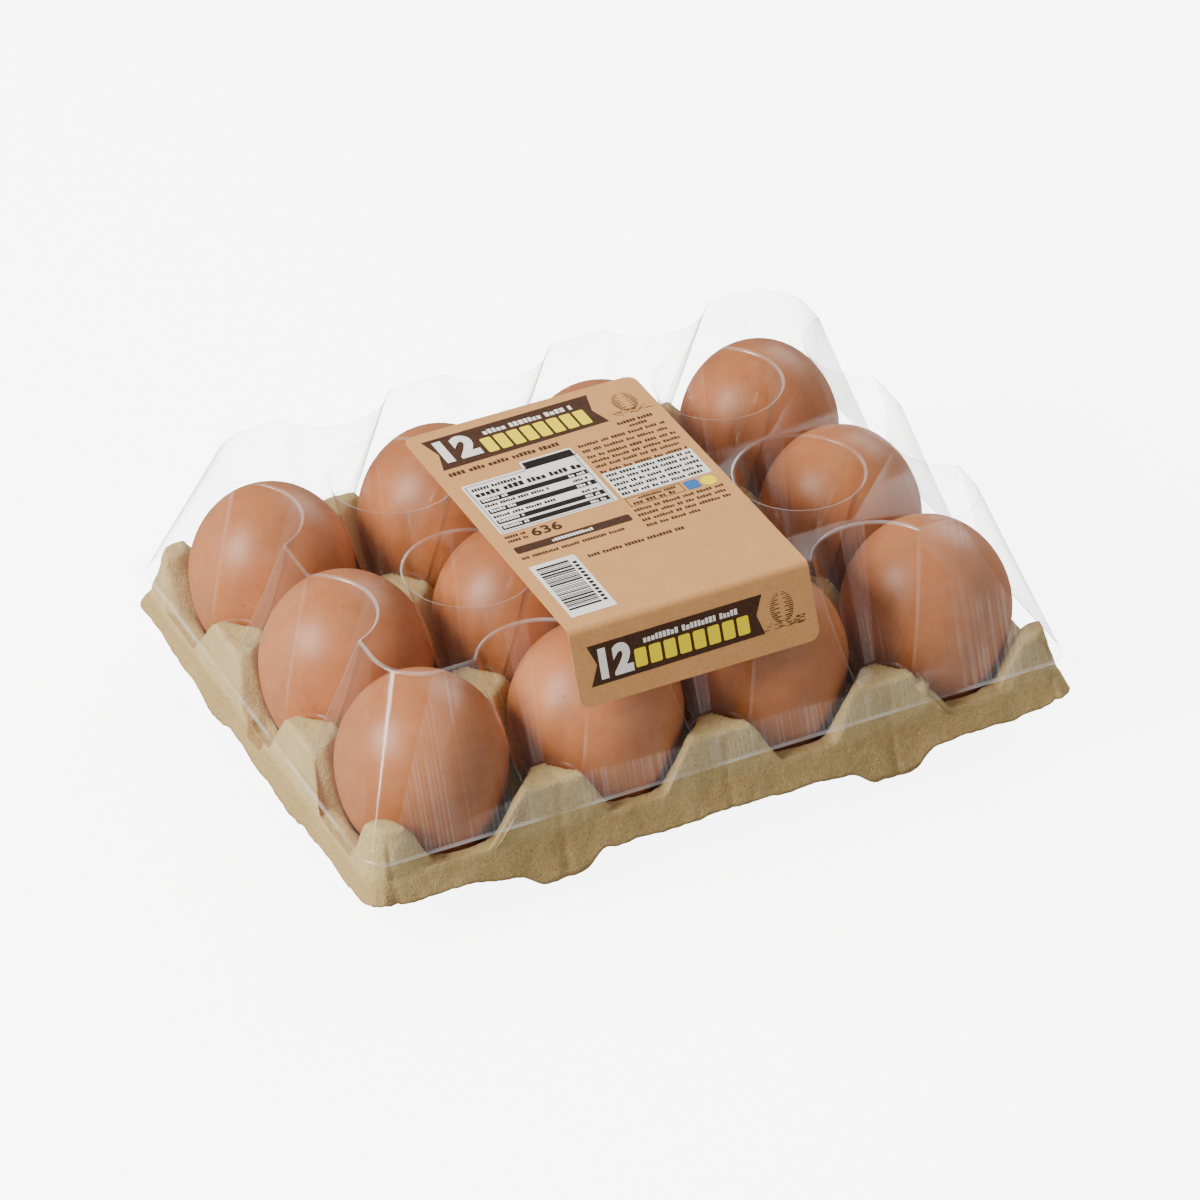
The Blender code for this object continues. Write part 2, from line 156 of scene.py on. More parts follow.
def freeze(piece: Object) -> Object:
    """Turn a piece's modifiers into its own mesh.

    Args:
        piece: The piece with live modifiers.

    Returns:
        The same piece with a plain mesh.
    """
    shape = piece.evaluated_get(bpy.context.evaluated_depsgraph_get())
    mesh = bpy.data.meshes.new_from_object(shape)
    piece.modifiers.clear()
    piece.data = mesh
    mesh.name = piece.name
    return piece


def thicken(sheet: Object, wall: float) -> Mesh:
    """Give a sheet its thickness on the inner side.

    Args:
        sheet: The sheet.
        wall: Thickness in millimetres.

    Returns:
        The finished mesh.
    """
    solid = sheet.modifiers.new("wall", "SOLIDIFY")
    solid.thickness = wall * MM
    solid.offset = -1.0
    return freeze(sheet).data


def smooth(mesh: Mesh, sharp: float) -> None:
    """Shade a mesh smoothly, apart from edges above an angle in degrees."""
    mesh.shade_smooth()
    mesh.set_sharp_from_angle(angle=math.radians(sharp))


def combine(piece: Object, other: Object, operation: str) -> None:
    """Apply one exact Boolean and remove the other body.

    Args:
        piece: The body that is kept.
        other: The body that is used up.
        operation: DIFFERENCE or UNION.
    """
    modifier = piece.modifiers.new("join", "BOOLEAN")
    modifier.operation = operation
    modifier.solver = "EXACT"
    modifier.object = other
    freeze(piece)
    bpy.data.objects.remove(other, do_unlink=True)


def dress(piece: Object, slot: str, *nodes: str) -> None:
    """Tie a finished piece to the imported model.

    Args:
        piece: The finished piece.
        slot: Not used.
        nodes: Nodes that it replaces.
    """
    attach(piece, "root")
    if nodes:
        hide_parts(*nodes)
    faces = sum(len(face.vertices) - 2 for face in piece.data.polygons)
    LOG.info("%s: %d triangles", piece.name, faces)


class Value:
    """One output socket. Sums with it add nodes to its graph."""

    def __init__(self, graph: "Graph", socket: bpy.types.NodeSocket) -> None:
        """Keep the graph and the socket."""
        self.graph = graph
        self.socket = socket

    def __add__(self, other: Any) -> "Value":
        """Add another value."""
        return self.graph.math("ADD", self, other)

    def __sub__(self, other: Any) -> "Value":
        """Take another value away."""
        return self.graph.math("SUBTRACT", self, other)

    def __rsub__(self, other: Any) -> "Value":
        """Take this value away from another."""
        return self.graph.math("SUBTRACT", other, self)

    def __mul__(self, other: Any) -> "Value":
        """Multiply by another value."""
        return self.graph.math("MULTIPLY", self, other)

    def __truediv__(self, other: Any) -> "Value":
        """Divide by another value."""
        return self.graph.math("DIVIDE", self, other)

    def __rtruediv__(self, other: Any) -> "Value":
        """Divide another value by this one."""
        return self.graph.math("DIVIDE", other, self)

    def __pow__(self, other: Any) -> "Value":
        """Raise to a power."""
        return self.graph.math("POWER", self, other)

    def __abs__(self) -> "Value":
        """Drop the sign."""
        return self.graph.math("ABSOLUTE", self)

    def clamped(self) -> "Value":
        """Hold the sum that was just added between 0 and 1."""
        self.socket.node.use_clamp = True
        return self


class Graph:
    """Adds nodes to one tree and joins them."""

    def __init__(self, tree: Tree) -> None:
        """Keep the tree and empty it."""
        self.tree = tree
        tree.nodes.clear()

    def node(self, kind: str, inputs: Inputs | None = None, **settings: Any) -> Node:
        """Add a node.

        Args:
            kind: Blender's name for the node.
            inputs: Values, sockets or plain values for its inputs, by name or number.
            settings: Its own settings.

        Returns:
            The new node.
        """
        made = self.tree.nodes.new(kind)
        for key, value in settings.items():
            setattr(made, key, value)
        for key, value in (inputs or {}).items():
            socket = made.inputs[key]
            value = value.socket if isinstance(value, Value) else value
            if isinstance(value, bpy.types.NodeSocket):
                self.tree.links.new(value, socket)
            elif socket.type == "RGBA":
                socket.default_value = (*value, 1.0)
            else:
                socket.default_value = value
        return made

    def out(self, key: Any, kind: str, inputs: Inputs | None = None, **settings: Any) -> Value:
        """Add a node and return one of its outputs."""
        return Value(self, self.node(kind, inputs, **settings).outputs[key])

    def math(self, operation: str, first: Any, second: Any = 0.0) -> Value:
        """Add one sum."""
        return self.out(0, "ShaderNodeMath", {0: first, 1: second}, operation=operation)

    def vector(self, operation: str, first: Any, second: Any) -> Value:
        """Add one vector sum."""
        return self.out(0, "ShaderNodeVectorMath", {0: first, 1: second}, operation=operation)

    def turn(self, vector: Any, rotation: Any) -> Value:
        """Turn a vector by three angles."""
        inputs = {"Vector": vector, "Rotation": rotation}
        return self.out(0, "ShaderNodeVectorRotate", inputs, rotation_type="EULER_XYZ")

    def parts(self, vector: Any) -> list[Value]:
        """Split a vector into its three values."""
        outputs = self.node("ShaderNodeSeparateXYZ", {0: vector}).outputs
        return [Value(self, socket) for socket in outputs]

    def blend(self, share: Any, first: Any, second: Any) -> Value:
        """Mix two colours by the share of the second."""
        return self.out(2, "ShaderNodeMix", {0: share, 6: first, 7: second}, data_type="RGBA")

    def close(self, label: str, value: Value) -> Tree:
        """Give a group its one output and return its tree."""
        self.node("NodeGroupOutput", {label: value})
        return self.tree


def open_group(name: str, kind: str, inputs: Inputs, output: str) -> tuple[Graph, dict[str, Value]]:
    """Start a node group with one output: a mask in shaders, else a geometry.

    Args:
        name: Name of the group.
        kind: ShaderNodeTree or GeometryNodeTree.
        inputs: Names and default values; a tuple makes a vector and None a geometry.
        output: Name of the output.

    Returns:
        The graph, and its inputs by name.
    """
    tree = bpy.data.node_groups.new(name, kind)
    graph = Graph(tree)
    for label, value in inputs.items():
        if value is None:
            tree.interface.new_socket(label, in_out="INPUT", socket_type="NodeSocketGeometry")
            continue
        kind_of = "NodeSocketVector" if isinstance(value, tuple) else "NodeSocketFloat"
        tree.interface.new_socket(label, in_out="INPUT", socket_type=kind_of).default_value = value
    result = "NodeSocketFloat" if kind == "ShaderNodeTree" else "NodeSocketGeometry"
    tree.interface.new_socket(output, in_out="OUTPUT", socket_type=result)
    sockets = graph.node("NodeGroupInput").outputs
    return graph, {label: Value(graph, sockets[label]) for label in inputs}


class Effects:
    """Shared shader groups, each with a mask as its only output."""

    def __init__(self) -> None:
        """Build every group once."""
        self.mottle = self._mottle()
        self.specks = self._specks()
        self.fibres = self._fibres()
        self.streaks = self._streaks()

    @staticmethod
    def _open(name: str, **inputs: Any) -> tuple[Graph, dict[str, Value]]:
        """Start a group that reads a place and returns a mask."""
        return open_group(name, "ShaderNodeTree", {"Vector": ORIGIN, **inputs}, "Mask")

    @staticmethod
    def _thread(cloud: Value, width: Value) -> Value:
        """Keep the thin line where a cloud passes its middle."""
        return (1.0 - abs(cloud - 0.5) / width).clamped()

    def _mottle(self) -> Tree:
        """Build soft clouds.

        Returns:
            The group: Size in millimetres, Contrast about the middle.
        """
        graph, given = self._open("mottle", Size=10.0, Detail=3.0, Contrast=1.0)
        cloud = graph.out("Fac", "ShaderNodeTexNoise", {
            "Vector": given["Vector"], "Scale": PER_METRE / given["Size"],
            "Detail": given["Detail"], "Roughness": 0.55,
        })
        return graph.close("Mask", ((cloud - 0.5) * given["Contrast"] + 0.5).clamped())

    def _specks(self) -> Tree:
        """Build scattered round specks.

        Returns:
            The group: Spacing and Radius in millimetres, Share of the places used.
        """
        graph, given = self._open("specks", Spacing=3.0, Radius=0.3, Share=0.5)
        cells = graph.node("ShaderNodeTexVoronoi", {
            "Vector": given["Vector"], "Scale": PER_METRE / given["Spacing"],
        })
        draw, size, _ = graph.parts(cells.outputs["Color"])
        away = given["Spacing"] * cells.outputs["Distance"]
        inside = (1.0 - away / (given["Radius"] * (size + 0.5))).clamped()
        used = graph.math("LESS_THAN", draw, given["Share"])
        return graph.close("Mask", (inside * 3.0).clamped() * used)

    def _fibres(self) -> Tree:
        """Build thin threads.

        Returns:
            The group: Stretch scales each axis, in cells for each metre.
        """
        graph, given = self._open("fibres", Turn=ORIGIN, Stretch=(300.0, 1800.0, 300.0), Width=0.12)
        turned = graph.turn(given["Vector"], given["Turn"])
        cloud = graph.out("Fac", "ShaderNodeTexNoise", {
            "Vector": graph.vector("MULTIPLY", turned, given["Stretch"]), "Scale": 1.0,
            "Detail": 2.0, "Roughness": 0.5,
        })
        return graph.close("Mask", self._thread(cloud, given["Width"]))

    def _streaks(self) -> Tree:
        """Build straight lines that run down a wall.

        Returns:
            The group: Spacing in millimetres, Width as a share.
        """
        graph, given = self._open("streaks", Normal=(0.0, 0.0, 1.0), Spacing=1.5, Width=0.08)
        x, y, _ = graph.parts(given["Vector"])
        faced_x, faced_y, _ = graph.parts(given["Normal"])
        across = x + graph.math("GREATER_THAN", abs(faced_x), abs(faced_y)) * (y - x)
        cloud = graph.out("Fac", "ShaderNodeTexNoise", {
            "W": across, "Scale": PER_METRE / given["Spacing"], "Detail": 1.0,
        }, noise_dimensions="1D")
        return graph.close("Mask", self._thread(cloud, given["Width"]))


class Surface:
    """A node material in the making."""

    def __init__(self, name: str, effects: Effects) -> None:
        """Start the material.

        Args:
            name: Its name.
            effects: The shared groups.
        """
        self.material = bpy.data.materials.new(name)
        self.material.use_nodes = True
        self.effects = effects
        self.graph = Graph(self.material.node_tree)
        self.place = self.graph.out("Object", "ShaderNodeTexCoord")
        self.height = self.graph.parts(self.place)[2]

    def mask(self, tree: Tree, **values: Any) -> Value:
        """Place a shared group and return its mask."""
        inputs = {"Vector": self.place, **values}
        return self.graph.out("Mask", "ShaderNodeGroup", inputs, node_tree=tree)

    def mottle(self, size: float, detail: float, contrast: float) -> Value:
        """Return soft clouds."""
        return self.mask(self.effects.mottle, Size=size, Detail=detail, Contrast=contrast)

    def specks(self, spacing: float, radius: float, share: float) -> Value:
        """Return scattered specks."""
        return self.mask(self.effects.specks, Spacing=spacing, Radius=radius, Share=share)

    def fibres(self, turn: Place, stretch: Place, width: float) -> Value:
        """Return thin threads."""
        return self.mask(self.effects.fibres, Turn=turn, Stretch=stretch, Width=width)

    def bump(self, height: Value, strength: float, depth: float) -> Value:
        """Turn a height from 0 to 1 into a normal; the depth is in millimetres."""
        inputs = {"Strength": strength, "Distance": depth * MM, "Height": height}
        return self.graph.out(0, "ShaderNodeBump", inputs)

    def close(self, values: dict[str, Any]) -> Material:
        """Finish the material with one Principled shader.

        Args:
            values: Values for the shader's inputs.

        Returns:
            The material.
        """
        shader = self.graph.out(0, "ShaderNodeBsdfPrincipled", values)
        self.graph.node("ShaderNodeOutputMaterial", {"Surface": shader})
        return self.material


@dataclass(frozen=True)
class Finish:
    """A finish: its name, and in paint() what its shader is fed with."""

    name: str

    def material(self, effects: Effects) -> Material:
        """Make the material."""
        surface = Surface(self.name, effects)
        return surface.close(self.paint(surface))

    def paint(self, surface: Surface) -> dict[str, Any]:
        """Return the values of the shader's inputs."""
        raise NotImplementedError


@dataclass(frozen=True)
class PulpFinish(Finish):
    """Moulded pulp: clouded, flecked and fibrous, and darker where it is low."""

    name: str = "pulp_dull"
    light: Colour = linear(214, 190, 136)
    dark: Colour = linear(184, 158, 104)
    fleck: Colour = linear(112, 92, 58)
    fleck_share: float = 0.55
    # Colour that the pulp is mixed towards near the bottom, darker and browner than the rest.
    low_colour: Colour = linear(158, 128, 76)
    low_share: float = 0.6
    low_height: float = 21.0
    low_fade: float = 3.0
    fibre: Colour = linear(208, 184, 134)
    fibre_share: float = 0.45
    roughness: float = 0.95

    def paint(self, surface: Surface) -> dict[str, Any]:
        """Lay clouds, fibres and flecks over each other.

        Args:
            surface: The material in the making.

        Returns:
            Values for the shader's inputs.
        """
        graph = surface.graph
        clouds = surface.mottle(size=14.0, detail=4.0, contrast=2.2)
        grain = surface.mottle(size=1.3, detail=4.0, contrast=2.6)
        fine = surface.mottle(size=0.55, detail=3.0, contrast=2.0)
        flecks = surface.specks(spacing=2.1, radius=0.26, share=0.45)
        threads = graph.math(
            "MAXIMUM",
            surface.fibres(turn=(0.3, 0.5, 0.4), stretch=(260.0, 1500.0, 900.0), width=0.05),
            surface.fibres(turn=(1.2, 0.2, 1.9), stretch=(300.0, 1400.0, 800.0), width=0.05),
        )
        # Below a set height, fading in downwards, the pulp turns a darker brown; this covers the skirt
        # and the lower parts of the cups.
        low = ((self.low_height * MM - surface.height) / (self.low_fade * MM)).clamped()
        colour = graph.blend(clouds * 0.55 + grain * 0.45, self.dark, self.light)
        colour = graph.blend(low * self.low_share, colour, self.low_colour)
        colour = graph.blend(threads * self.fibre_share, colour, self.fibre)
        colour = graph.blend(flecks * self.fleck_share, colour, self.fleck)
        return {
            "Base Color": colour, "Roughness": self.roughness, "Specular IOR Level": 0.25,
            "Normal": surface.bump(grain * 0.6 + fine * 0.4 + threads * 0.3, strength=0.75, depth=0.32),
        }


@dataclass(frozen=True)
class ShellFinish(Finish):
    """Brown eggshell: satin, pored and speckled; its tone is stored on the mesh."""

    name: str = "shell_satin"
    pale: Colour = linear(200, 124, 74)
    deep: Colour = linear(154, 90, 48)
    speck: Colour = linear(104, 54, 30)
    speck_share: float = 0.42
    bloom: Colour = linear(222, 160, 116)
    bloom_share: float = 0.10
    roughness: float = 0.43

    def paint(self, surface: Surface) -> dict[str, Any]:
        """Lay clouds, specks, bloom and pores over each other.

        Args:
            surface: The material in the making.

        Returns:
            Values for the shader's inputs.
        """
        graph = surface.graph
        tone = graph.out("Fac", "ShaderNodeAttribute", attribute_name="tone")
        clouds = surface.mottle(size=22.0, detail=3.0, contrast=1.6)
        fine = surface.mottle(size=2.4, detail=5.0, contrast=1.8)
        dust = surface.mottle(size=5.0, detail=6.0, contrast=4.0)
        pores = surface.specks(spacing=0.8, radius=0.2, share=0.8)
        marks = graph.math(
            "MAXIMUM",
            surface.specks(spacing=2.6, radius=0.22, share=0.28),
            surface.specks(spacing=6.5, radius=0.42, share=0.22),
        )
        share = (tone + (clouds - 0.5) * 0.5 + (fine - 0.5) * 0.22).clamped()
        colour = graph.blend(share, self.pale, self.deep)
        colour = graph.blend(marks * self.speck_share, colour, self.speck)
        colour = graph.blend(dust * self.bloom_share, colour, self.bloom)
        return {
            "Base Color": colour, "Roughness": self.roughness, "Specular IOR Level": 0.42,
            "Subsurface Weight": 0.08, "Subsurface Scale": 0.002,
            "Normal": surface.bump(fine * 0.5 - pores * 0.5, strength=0.22, depth=0.06),
        }


@dataclass(frozen=True)
class FilmFinish(Finish):
    """Clear film seen as one wall: it keeps back a little light, and more at a grazing view."""

    clear: float
    haze: float
    gloss: float
    streak: float
    roughness: float
    metallic: float = 1.0
    # calm, uneven and fade shape the crease material's painted highlight: less at the recess feet,
    # patchy, and less on steep faces.
    calm: float = 0.0
    uneven: float = 0.0
    fade: float = 0.0
    foot: float = 34.0
    foot_reach: float = 6.0
    grazing: float = 4.0
    steepness: float = 3.0
    lying_gain: float = 1.6
    lying_least: float = 0.3
    colour: Colour = (0.95, 0.96, 0.97)

    def paint(self, surface: Surface) -> dict[str, Any]:
        """Keep back light at grazing views, in drawn lines and in creases; on creases the whiter, more
        opaque film is a painted highlight over the lamps' real reflection.

        Args:
            surface: The material in the making.

        Returns:
            Values for the shader's inputs.
        """
        graph = surface.graph
        facing = graph.out("Facing", "ShaderNodeLayerWeight", {"Blend": 0.5})
        normal = graph.out("Normal", "ShaderNodeNewGeometry")
        rise = abs(graph.parts(normal)[2])
        steep = 1.0 - rise ** self.steepness
        lying = (rise * self.lying_gain - self.lying_least).clamped()
        drawn = surface.mask(surface.effects.streaks, Normal=normal, Spacing=1.3, Width=0.07)
        patches = surface.mottle(size=16.0, detail=1.0, contrast=4.0)
        veil = (drawn * patches * self.streak + self.haze) * steep
        at_foot = (1.0 - abs(surface.height - self.foot * MM) / (self.foot_reach * MM)).clamped()
        calm = 1.0 - at_foot * self.calm
        uneven = patches * self.uneven + (1.0 - self.uneven)
        fade = 1.0 - (1.0 - lying) * self.fade
        # On creases this share paints a highlight: up-facing creases turn whiter and more opaque; the
        # lamps' reflection on top of it is rendered.
        kept = facing ** self.grazing * self.gloss + calm * uneven * (fade * self.clear)
        return {
            "Base Color": self.colour, "Metallic": self.metallic, "Roughness": self.roughness,
            "Alpha": (kept + veil).clamped(),
        }


@dataclass(frozen=True)
class PaperFinish(Finish):
    """Kraft paper: flecked with short fibres."""

    name: str = "kraft_paper"
    light: Colour = linear(220, 164, 104)
    dark: Colour = linear(204, 146, 88)
    fleck: Colour = linear(150, 100, 58)
    fleck_share: float = 0.28
    roughness: float = 0.72

    def paint(self, surface: Surface) -> dict[str, Any]:
        """Lay clouds and fibres over each other.

        Args:
            surface: The material in the making.

        Returns:
            Values for the shader's inputs.
        """
        graph = surface.graph
        clouds = surface.mottle(size=9.0, detail=5.0, contrast=1.6)
        grain = surface.mottle(size=0.9, detail=3.0, contrast=1.8)
        threads = graph.math(
            "MAXIMUM",
            surface.fibres(turn=(0.0, 0.0, 0.2), stretch=(350.0, 2200.0, 350.0), width=0.035),
            surface.fibres(turn=(0.0, 0.0, 1.3), stretch=(420.0, 2600.0, 420.0), width=0.03),
        )
        colour = graph.blend(clouds * 0.6 + grain * 0.4, self.dark, self.light)
        return {
            "Base Color": graph.blend(threads * self.fleck_share, colour, self.fleck),
            "Roughness": self.roughness, "Specular IOR Level": 0.35,
            "Normal": surface.bump(grain * 0.6 + threads * 0.4, strength=0.25, depth=0.05),
        }


@dataclass(frozen=True)
class InkFinish(Finish):
    """Printing ink on kraft: slightly uneven cover."""

    colour: Colour
    cover: float
    worn: Colour = PaperFinish.light
    roughness: float = 0.68

    def paint(self, surface: Surface) -> dict[str, Any]:
        """Let a little paper through the ink.

        Args:
            surface: The material in the making.

        Returns:
            Values for the shader's inputs.
        """
        grain = surface.mottle(size=0.7, detail=3.0, contrast=2.4)
        colour = surface.graph.blend(grain * (1.0 - self.cover), self.colour, self.worn)
        return {
            "Base Color": colour, "Roughness": self.roughness, "Specular IOR Level": 0.25,
            "Normal": surface.bump(grain, strength=0.15, depth=0.03),
        }


@dataclass(frozen=True)
class FloorFinish(Finish):
    """Plain pale studio floor, which throws little light back on the pack."""

    name: str = "studio_floor"
    colour: Colour = (0.92, 0.92, 0.92)
    dim: float = 0.985
    bounce: Colour = (0.29, 0.275, 0.26)
    lift: float = 7.0
    roughness: float = 0.9

    def paint(self, surface: Surface) -> dict[str, Any]:
        """Show one colour to the camera and another to the pack.

        Args:
            surface: The material in the making.

        Returns:
            Values for the shader's inputs.
        """
        graph = surface.graph
        clouds = surface.mottle(size=400.0, detail=2.0, contrast=0.4)
        seen = graph.out("Is Camera Ray", "ShaderNodeLightPath")
        shown = graph.blend(clouds, tuple(value * self.dim for value in self.colour), self.colour)
        return {
            "Base Color": graph.blend(seen, self.bounce, shown), "Roughness": self.roughness,
            "Emission Color": self.colour, "Emission Strength": seen * self.lift,
        }


@dataclass(frozen=True)
class Layout:
    """Places of the cups, shared by the tray, the eggs and the lid."""

    pitch: float = 48.0
    columns: int = 4
    rows: int = 3

    def middle(self, index: Any, count: int) -> Any:
        """Return the middle line of a column or row of cups."""
        return (index - (count - 1) / 2) * self.pitch

    def own_middle(self, place: Any, count: int) -> Any:
        """Return the middle line of the column or row that a place belongs to."""
        index = np.floor((place + count * self.pitch / 2) / self.pitch)
        return self.middle(np.clip(index, 0, count - 1), count)

    def own_line(self, place: Any, count: int) -> Any:
        """Return the line between cups that is nearest to a place."""
        half = count * self.pitch / 2
        return np.round((place + half) / self.pitch) * self.pitch - half

    def line(self, index: int, count: int) -> float:
        """Return the line between cups that has a number, counted from the edge."""
        return (index - count / 2) * self.pitch


@dataclass(frozen=True)
class PulpTray:
    """The moulded pulp tray: cups, posts, rim, notches, skirt and ragged lip in one wall.

    A run is a pair of distances over which something fades in; tears and dents are
    layers of noise, each with its height and its length.
    """

    layout: Layout
    wall: float = 1.6
    floor_radius: float = 10.0
    cup_radius: float = 26.8
    cup_blend: float = 1.3
    post_top: float = 33.0
    post_crown: float = 8.5
    post_base: float = 16.0
    post_curve: float = 1.15
    post_blend: float = 1.6
    corner_cut: float = 2.5
    rim_top: float = 19.5
    saddle_top: float = 17.0
    saddle_run: Point = (4.0, 12.0)
    top_half: Point = (98.0, 72.75)
    rim_half: Point = (101.0, 74.5)
    lip_half: Point = (103.0, 78.0)
    top_corner: float = 7.0
    rim_corner: float = 5.0
    outer_slope: float = 3.2
    outer_blend: float = 1.1
    lip_corner_height: float = 14.5
    long_bow: float = 3.8
    short_bow: float = 2.0
    lug_drop: float = 4.2
    lug_run: Point = (12.5, 5.0)
    lug_push: float = 0.9
    lug_push_run: Point = (12.5, 4.0)
    side_lug_drop: float = 1.8
    side_lug_run: Point = (12.0, 4.0)
    notch_top: float = 16.0
    notch_wall: float = 30.0
    notch_run: Point = (7.5, 4.5)
    notch_depth_run: Point = (92.5, 95.0)
    notch_blend: float = 1.2
    seam_depth: float = 0.55
    seam_shift: float = 1.2
    seam_width: float = 0.8
    tears: tuple[Point, ...] = ((1.5, 17.0), (0.7, 5.0), (0.35, 1.8))
    dents: tuple[Point, ...] = ((0.42, 8.0), (0.22, 3.0), (0.16, 1.5))
    face_steps: float = 10.0
    skirt_steps: float = 9.0
    spacing: float = 1.0

    def rim_inset(self, x: Any, y: Any) -> Any:
        """Return how far points lie inside the rim's outline.

        Args:
            x: Places along the long side.
            y: Places along the short side.

        Returns:
            Distances, positive inside.
        """
        over_x = np.abs(x) - (self.rim_half[0] - self.rim_corner)
        over_y = np.abs(y) - (self.rim_half[1] - self.rim_corner)
        outside = np.hypot(np.maximum(over_x, 0), np.maximum(over_y, 0))
        in_corner = (over_x > 0) & (over_y > 0)
        return self.rim_corner - np.where(in_corner, outside, np.maximum(over_x, over_y))

    def inner_height(self, x: Any, y: Any) -> Any:
        """Return the height of cups, ridges and posts.

        Args:
            x: Places along the long side.
            y: Places along the short side.

        Returns:
            Heights above the table.
        """
        grid = self.layout
        away = np.hypot(x - grid.own_middle(x, grid.columns), y - grid.own_middle(y, grid.rows))
        bowl = np.clip((away - self.floor_radius) / (self.cup_radius - self.floor_radius), 0, None)
        cup = self.wall + (self.post_top - self.wall) * bowl ** 2
        near_x, near_y = grid.own_line(x, grid.columns), grid.own_line(y, grid.rows)
        at_end = np.abs(near_x) > grid.columns * grid.pitch / 2 - 1
        at_side = np.abs(near_y) > grid.rows * grid.pitch / 2 - 1
        from_post = np.hypot(x - near_x, y - near_y) + self.corner_cut * (at_end & at_side)
        flank = np.clip((from_post - self.post_crown) / (self.post_base - self.post_crown), 0, None)
        post = self.post_top - (self.post_top - self.rim_top) * flank ** self.post_curve
        sunk = smooth_step(*self.saddle_run, self.rim_inset(x, y))
        land = self.rim_top + (self.saddle_top - self.rim_top) * sunk
        return smooth_min(cup, smooth_max(land, post, self.post_blend), self.cup_blend)

    def lip_height(self, x: Any, y: Any, on_long: Any) -> Any:
        """Return the height of the skirt's lower edge before it is torn.

        Args:
            x: Places along the long side.
            y: Places along the short side.
            on_long: 1 on the long sides and 0 on the short ones.

        Returns:
            Heights above the table.
        """
        pitch, level = self.layout.pitch, self.lip_corner_height
        long_bow = self.long_bow * (1 - np.clip(np.abs(x) / self.rim_half[0], 0, 1) ** 4)
        short_bow = self.short_bow * (1 - np.clip(np.abs(y) / self.rim_half[1], 0, 1) ** 2)
        lug = self.lug_drop * smooth_step(*self.lug_run, np.abs(np.abs(x) - pitch))
        from_side_lug = np.abs(np.abs(y) - pitch / 2)
        side_lug = self.side_lug_drop * smooth_step(*self.side_lug_run, from_side_lug)
        return np.where(on_long > 0.5, level - long_bow - lug, level - short_bow - side_lug)

    def torn(self, plan: Sequence[np.ndarray], skirt: np.ndarray) -> np.ndarray:
        """Return how far the lip is torn up or hangs down.

        Args:
            plan: Places along both axes.
            skirt: Share of the way down the skirt.

        Returns:
            Distances upwards, 0 above the skirt.
        """
        ragged = np.zeros_like(skirt)
        for index in zip(*np.nonzero(skirt > 0)):
            ragged[index] = waves(Vector((plan[0][index], plan[1][index], 0.0)), self.tears)
        return ragged

    def surface(self) -> tuple[np.ndarray, int, int]:
        """Lay an unrolled grid over the cups and down the skirt.

        Returns:
            The points in millimetres, and the numbers of columns and rows.
        """
        axes = (0, 1)
        core = [half - self.top_corner for half in self.top_half]
        reach = self.top_corner + self.face_steps + self.skirt_steps
        counts = [round(2 * (size + reach) / self.spacing) + 1 for size in core]
        lines = [np.linspace(-core[i] - reach, core[i] + reach, counts[i]) for i in axes]
        grid = np.meshgrid(*lines, indexing="ij")
        over = [np.maximum(np.abs(grid[i]) - core[i], 0) for i in axes]
        out, least = np.maximum(*over), np.minimum(*over)
        turn = math.pi / 4 * least / np.maximum(out, 1e-9)
        angle = np.where(over[0] >= over[1], turn, math.pi / 2 - turn)
        way = [
            np.where(least > 0, bend(angle), (part > 0) * 1.0)
            for bend, part in zip((np.cos, np.sin), over)
        ]
        base = [np.minimum(np.abs(grid[i]), core[i]) for i in axes]
        sign = [np.where(grid[i] < 0, -1.0, 1.0) for i in axes]
        inner = np.minimum(out, self.top_corner)
        face = np.clip((out - self.top_corner) / self.face_steps, 0, 1)
        skirt = np.clip((out - self.top_corner - self.face_steps) / self.skirt_steps, 0, 1)
        outlines = (
            (self.top_half, self.top_corner), (self.rim_half, self.rim_corner),
            (self.lip_half, self.rim_corner),
        )
        plan, held = [], []
        for i in axes:
            top, rim, lip = (
                base[i] / core[i] * (half[i] - round_by) + round_by * way[i]
                for half, round_by in outlines
            )
            inside = base[i] + inner * way[i]
            plan.append((inside + (rim - top) * face + (lip - rim) * skirt) * sign[i])
            held.append(inside * sign[i])
        outer = np.where(
            out < self.top_corner,
            self.post_top + (self.top_corner - out) * self.outer_slope,
            self.rim_top + (self.post_top - self.rim_top) * (1 - face),
        )
        on_long = (way[1] > way[0]) * 1.0
        lip = self.lip_height(plan[0], plan[1], on_long)
        outer = outer - (self.rim_top - lip - self.torn(plan, skirt)) * skirt
        height = smooth_min(self.inner_height(*held), outer, self.outer_blend)
        in_notch = smooth_step(*self.notch_run, np.abs(plan[1])) * (on_long < 0.5)
        in_notch = in_notch * smooth_step(*self.notch_depth_run, np.abs(plan[0]))
        notched = self.notch_top + self.notch_wall * (1 - in_notch)
        height = smooth_min(height, notched, self.notch_blend)
        from_lug = np.abs(np.abs(plan[0]) - self.layout.pitch)
        lug = smooth_step(*self.lug_push_run, from_lug) * on_long
        from_seam = plan[0] - self.layout.own_line(plan[0], self.layout.columns) - self.seam_shift
        seam = np.exp(-(from_seam / self.seam_width) ** 2) * on_long * np.clip(face * 3, 0, 1)
        plan[1] = plan[1] + (self.lug_push * lug * skirt - self.seam_depth * seam) * sign[1]
        return np.stack((*plan, height), axis=-1).reshape(-1, 3), *counts

    def roughen(self, mesh: Mesh) -> None:
        """Move the points along their normals so that the pulp is uneven.

        Args:
            mesh: The mesh of the upper face.
        """
        normals, places = np.zeros((2, len(mesh.vertices) * 3))
        mesh.vertex_normals.foreach_get("vector", normals)
        mesh.vertices.foreach_get("co", places)
        moves = [waves(Vector(spot), self.dents) for spot in places.reshape(-1, 3) / MM]
        mesh.vertices.foreach_set("co", places + normals * np.repeat(moves, 3) * MM)
        mesh.update()

